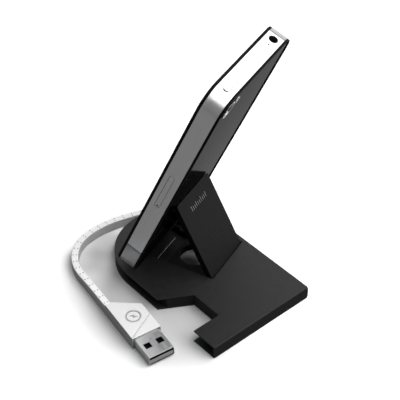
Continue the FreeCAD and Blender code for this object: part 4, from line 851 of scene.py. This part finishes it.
plug = dict(length=23.5, short=15.7, width=13.7, thick=6.4, edge=0.28, shellWidth=12.0, shellThick=4.5,
            shellLength=12.3, wall=0.35, bar=2.2, window=3.0, windowX=5.95, windowY=2.9, seatGap=0.2, seatDeep=5.0,
            stripFrom=7.8, stripShort=1.6, stripPitch=2.4, stripHalf=0.5, inlayX=-11.0, inlaySeat=3.6,
            boltTurn=50.0, creaseFrom=(-0.3, -6.6, 0), creaseTo=(-8.4, 6.6, 0), creaseHalf=0.12, creaseDeep=0.22)


def inPaintedShade(centre, normal):
    # painted shade: the groove across the mould, its end face and the seat of the shell are greyed
    top, side = plug["thick"], abs(centre.y)
    groove = top - 0.26 < centre.z < top - 0.02 and -7 < centre.x < -1.5 and side < 5
    seat = centre.x > -plug["seatDeep"] - 0.2 and side < plug["width"] / 2 - 0.4 and 0.4 < centre.z < top - 0.4
    return groove or seat or normal.x > 0.9


def makePlug():
    half, top = plug["width"] / 2, plug["thick"]
    outline = [(0, -half), (0, half), (-plug["short"], half), (-plug["length"], lead["wide"] - half),
               (-plug["length"], -half)]
    body = slabMesh("plugMould", [outline], 0, top, plug["edge"], 4)
    low = (top - plug["shellThick"]) / 2
    seatSide, seatTop = plug["shellWidth"] / 2 + plug["seatGap"], low + plug["shellThick"] + plug["seatGap"]
    socket = boxMesh("socket", (-plug["seatDeep"], -seatSide, low - plug["seatGap"]), (1, seatSide, seatTop))
    ring = slabMesh("seat", [circle(plug["inlayX"], 0, plug["inlaySeat"])], top - 0.3, top + 1, 0.001, 0)
    start, stop = Vector(plug["creaseFrom"]), Vector(plug["creaseTo"])
    across, reach = stop - start, (stop - start).length / 2
    groove = boxMesh("groove", (-reach, -plug["creaseHalf"], -plug["creaseDeep"]), (reach, plug["creaseHalf"], 0.5))
    turn = Matrix.Rotation(math.atan2(across.y, across.x), 4, "Z")
    groove.transform(Matrix.Translation((start + stop) / 2 + up * top) @ turn)
    mould = carved(body, [socket, ring, groove])
    # the groove, the end face and the shell seat wear painted shade
    pieceMould = addPiece("plugMould", mould, plugPlace, "mouldWhite", "base", ["plug_mould"],
                          second="paintedShadeGrey", where=inPaintedShade)
    inlay = [(3.42, top - 0.3), (3.42, top - 0.05), (3.37, top), (3.22, top), (3.17, top - 0.26), (2.83, top - 0.26),
             (2.78, top), (0, top)]
    disc = turnedMesh("plugInlay", inlay, at=(plug["inlayX"], 0, 0))
    bolt = [(-2.3, -0.3), (0.2, 1.15), (0.0, 0.25), (2.3, 0.3), (-0.2, -1.15), (0.0, -0.25)]
    mark = slabMesh("mark", [bolt], top - 0.24, top + 0.5, 0.001, 0)
    boltTurn = Matrix.Rotation(math.radians(plug["boltTurn"]), 4, "Z")
    mark.transform(Matrix.Translation((plug["inlayX"], 0, 0)) @ boltTurn)
    # the emblem's recessed faces wear painted shade
    pieceInlay = addPiece("plugInlay", carved(disc, [mark]), plugPlace, "mouldWhite", "base", ["plug_emblem"],
                          second="emblemGrooveShade",
                          where=lambda centre, normal: top - 0.28 < centre.z < top - 0.1)
    width, thick, wall = plug["shellWidth"], plug["shellThick"], plug["wall"]
    outer = roundedLoop(-width / 2, width / 2, low, low + thick, 0.7, 5)
    inner = roundedLoop(-width / 2 + wall, width / 2 - wall, low + wall, low + thick - wall, 0.4, 5)
    tube = turnMesh(slabMesh("usbShell", [outer, inner], -5, plug["shellLength"], 0.08, 2), standUp)
    cuts = []
    for side in (-1, 1):
        x, y, w = plug["windowX"], side * plug["windowY"], plug["window"] / 2
        cuts.append(boxMesh("window", (x - w, y - w, -1), (x + w, y + w, 8)))
    cuts.append(boxMesh("seam", (-6, -0.05, low - 1), (20, 0.05, low + wall + 0.1)))
    middle = top / 2

    # painted shadow: the shell's inner walls are darkened
    def inShellShadow(centre, normal):
        shallow = abs(centre.z - middle) < thick / 2 - wall * 0.7 and abs(centre.y) < width / 2 - wall * 0.7
        return shallow and abs(normal.x) < 0.9
    pieceShell = addPiece("usbShell", carved(tube, cuts), plugPlace, "stampedSteel", "base", ["usb_shell"],
                          smooth=30, second="insideShadowBlack", where=inShellShadow)
    rest = low + wall + plug["bar"]
    bar = boxMesh("usbBar", (-5, wall - width / 2, low + wall), (plug["shellLength"] - 0.3, width / 2 - wall, rest),
                  0.12)
    # the bar's top wears painted shadow for the dark gap above it
    pieceBar = addPiece("usbBar", bar, plugPlace, "insulatorGrey", "base", ["usb_insulator"],
                        second="insideShadowBlack", where=lambda centre, normal: normal.z > 0.8)
    tip, pitch, half = plug["shellLength"] - plug["stripShort"], plug["stripPitch"], plug["stripHalf"]
    strips = [boxMesh("strip", (plug["stripFrom"], i * pitch - half, rest), (tip, i * pitch + half, rest + 0.15), 0.05)
              for i in (-1.5, -0.5, 0.5, 1.5)]
    # the USB contacts wear gold darkened as painted shadow
    pieceStrips = addPiece("usbStrips", strips, plugPlace, "shadowedGold", "base",
                           ["usb_contacts"])
    return [pieceMould, pieceInlay, pieceShell, pieceBar, pieceStrips]


plugPieces = makePlug()
print("plug built")


# a fade is given by where it starts and ends, in metres or as a cosine, and by its two strengths
studio = dict(floorSize=3.0, floorSeen=1.15, floorMirrored=[((0.015, 0.05), (0.26, 0.6)), ((0.15, 0.19), (0, 0.4))],
              floorLit=0.06, skySeen=1.0, skyFade=(-0.1, 0.75), skyMirrored=(0.28, 0.85), skyLit=(0.02, 0.48),
              brightSide=(-0.35, 0.75, 0.55), plainFrom=(0.3, 0.7), lampsAim=(0, 0, 0.03))
# painted shadow on the floor: each patch darkens the sheet to its tone at its middle
paintedShadowPatches = [
    dict(middle=(2, -26), stretch=(1.35, 1.0), radii=(15, 42), tone=0.45),
    dict(middle=(-42, -18), stretch=(1.0, 1.0), radii=(5, 14), tone=0.66),
    dict(middle=(-41, -33), stretch=(1.0, 1.0), radii=(4, 13), tone=0.72),
    dict(middle=(-8, 1), stretch=(1.0, 1.0), radii=(3, 13), tone=0.08),
]


def rayMix(tree, seen, mirrored, lit):
    # what the camera meets, what mirrored and clear rays meet, and what lights the object
    rays = tree.nodes.new("ShaderNodeLightPath").outputs
    either = worked(tree, "MAXIMUM", rays["Is Glossy Ray"], rays["Is Transmission Ray"])
    other = newNode(tree, "Mix", "Result", {"Factor": either, "A": lit, "B": mirrored})
    return newNode(tree, "Mix", "Result", {"Factor": rays["Is Camera Ray"], "A": other, "B": seen})


def floorWithShadow(tree, where):
    # painted shadow: the sheet is darkened in patches by the object and under the finger hole, and palest elsewhere
    result = studio["floorSeen"]
    for patch in paintedShadowPatches:
        scale = (1 / patch["stretch"][0], 1 / patch["stretch"][1], 1)
        flattened = newNode(tree, "Mapping", "Vector", {"Vector": where, "Scale": scale})
        middle = (*(patch["middle"][i] / patch["stretch"][i] * mm for i in (0, 1)), 0)
        away = worked(tree, "DISTANCE", flattened, middle, kind="VectorMath")
        tone = fadeBetween(tree, away, [radius * mm for radius in patch["radii"]], (patch["tone"], 1))
        result = worked(tree, "MULTIPLY", result, tone)
    return result


def makeFloor():
    mesh = bpy.data.meshes.new("floor")
    size = studio["floorSize"]
    mesh.from_pydata([(-size, -size, 0), (size, -size, 0), (size, size, 0), (-size, size, 0)], [], [(0, 1, 2, 3)])
    floor = inScene("floor", mesh)
    mat = bpy.data.materials.new("paleFloor")
    mat.use_nodes = True
    tree = mat.node_tree
    tree.nodes.clear()
    output = tree.nodes.new("ShaderNodeOutputMaterial")
    where = newNode(tree, "TexCoord", "Object", {})
    brightWay = Vector((*studio["brightSide"][:2], 0)).normalized()
    aside = worked(tree, "DOT_PRODUCT", where, brightWay, kind="VectorMath")
    mirrored = worked(tree, "ADD", *(fadeBetween(tree, aside, *fade) for fade in studio["floorMirrored"]))
    tone = rayMix(tree, floorWithShadow(tree, where), mirrored, studio["floorLit"])
    # far from the object the sheet is plain white to the camera, so that no horizon shows
    away = worked(tree, "LENGTH", where, kind="VectorMath")
    far = fadeBetween(tree, away, studio["plainFrom"], (0, 1))
    plain = worked(tree, "MULTIPLY", newNode(tree, "LightPath", "Is Camera Ray", {}), far)
    blend = newNode(tree, "MixShader", "Shader", {
        "Fac": plain, 1: newNode(tree, "BsdfDiffuse", "BSDF", {"Color": tone}),
        2: newNode(tree, "Emission", "Emission", {}),
    })
    fill(tree, output, {"Surface": blend})
    mesh.materials.append(mat)


def makeSky():
    # a pale studio whose far left side is bright and whose near side is dim
    world = bpy.data.worlds.new("studio")
    bpy.context.scene.world = world
    world.use_nodes = True
    tree = world.node_tree
    where = newNode(tree, "TexCoord", "Generated", {})
    facing = worked(tree, "DOT_PRODUCT", where, Vector(studio["brightSide"]).normalized(), kind="VectorMath")
    mirrored, lit = (fadeBetween(tree, facing, studio["skyFade"], studio[tones])
                     for tones in ("skyMirrored", "skyLit"))
    strength = rayMix(tree, studio["skySeen"], mirrored, lit)
    fill(tree, tree.nodes["Background"], {"Strength": strength, "Color": (1, 1, 1, 1)})


lamps = {
    "backPanel": dict(toward=(-0.02, 0.70, 0.71), distance=1.6, size=(1.0, 0.8), power=5.5),
    "sidePanel": dict(toward=(0.50, 0.33, 0.80), distance=1.6, size=(1.4, 1.4), power=25.0),
    "cornerPanel": dict(toward=(0.38, -0.28, 0.88), distance=1.6, size=(0.85, 0.85), power=5.0),
}


def makeLamps():
    target = Vector(studio["lampsAim"])
    for name, lamp in lamps.items():
        data = bpy.data.lights.new(name, "AREA")
        data.shape = "RECTANGLE"
        data.size, data.size_y = lamp["size"]
        data.energy = lamp["power"]
        light = inScene(name, data)
        toward = Vector(lamp["toward"]).normalized()
        light.location = target + toward * lamp["distance"]
        light.rotation_euler = toward.to_track_quat("Z", "Y").to_euler()


makeFloor()
makeSky()
makeLamps()
bpy.context.scene.view_settings.view_transform = "Standard"
print("floor and light set")
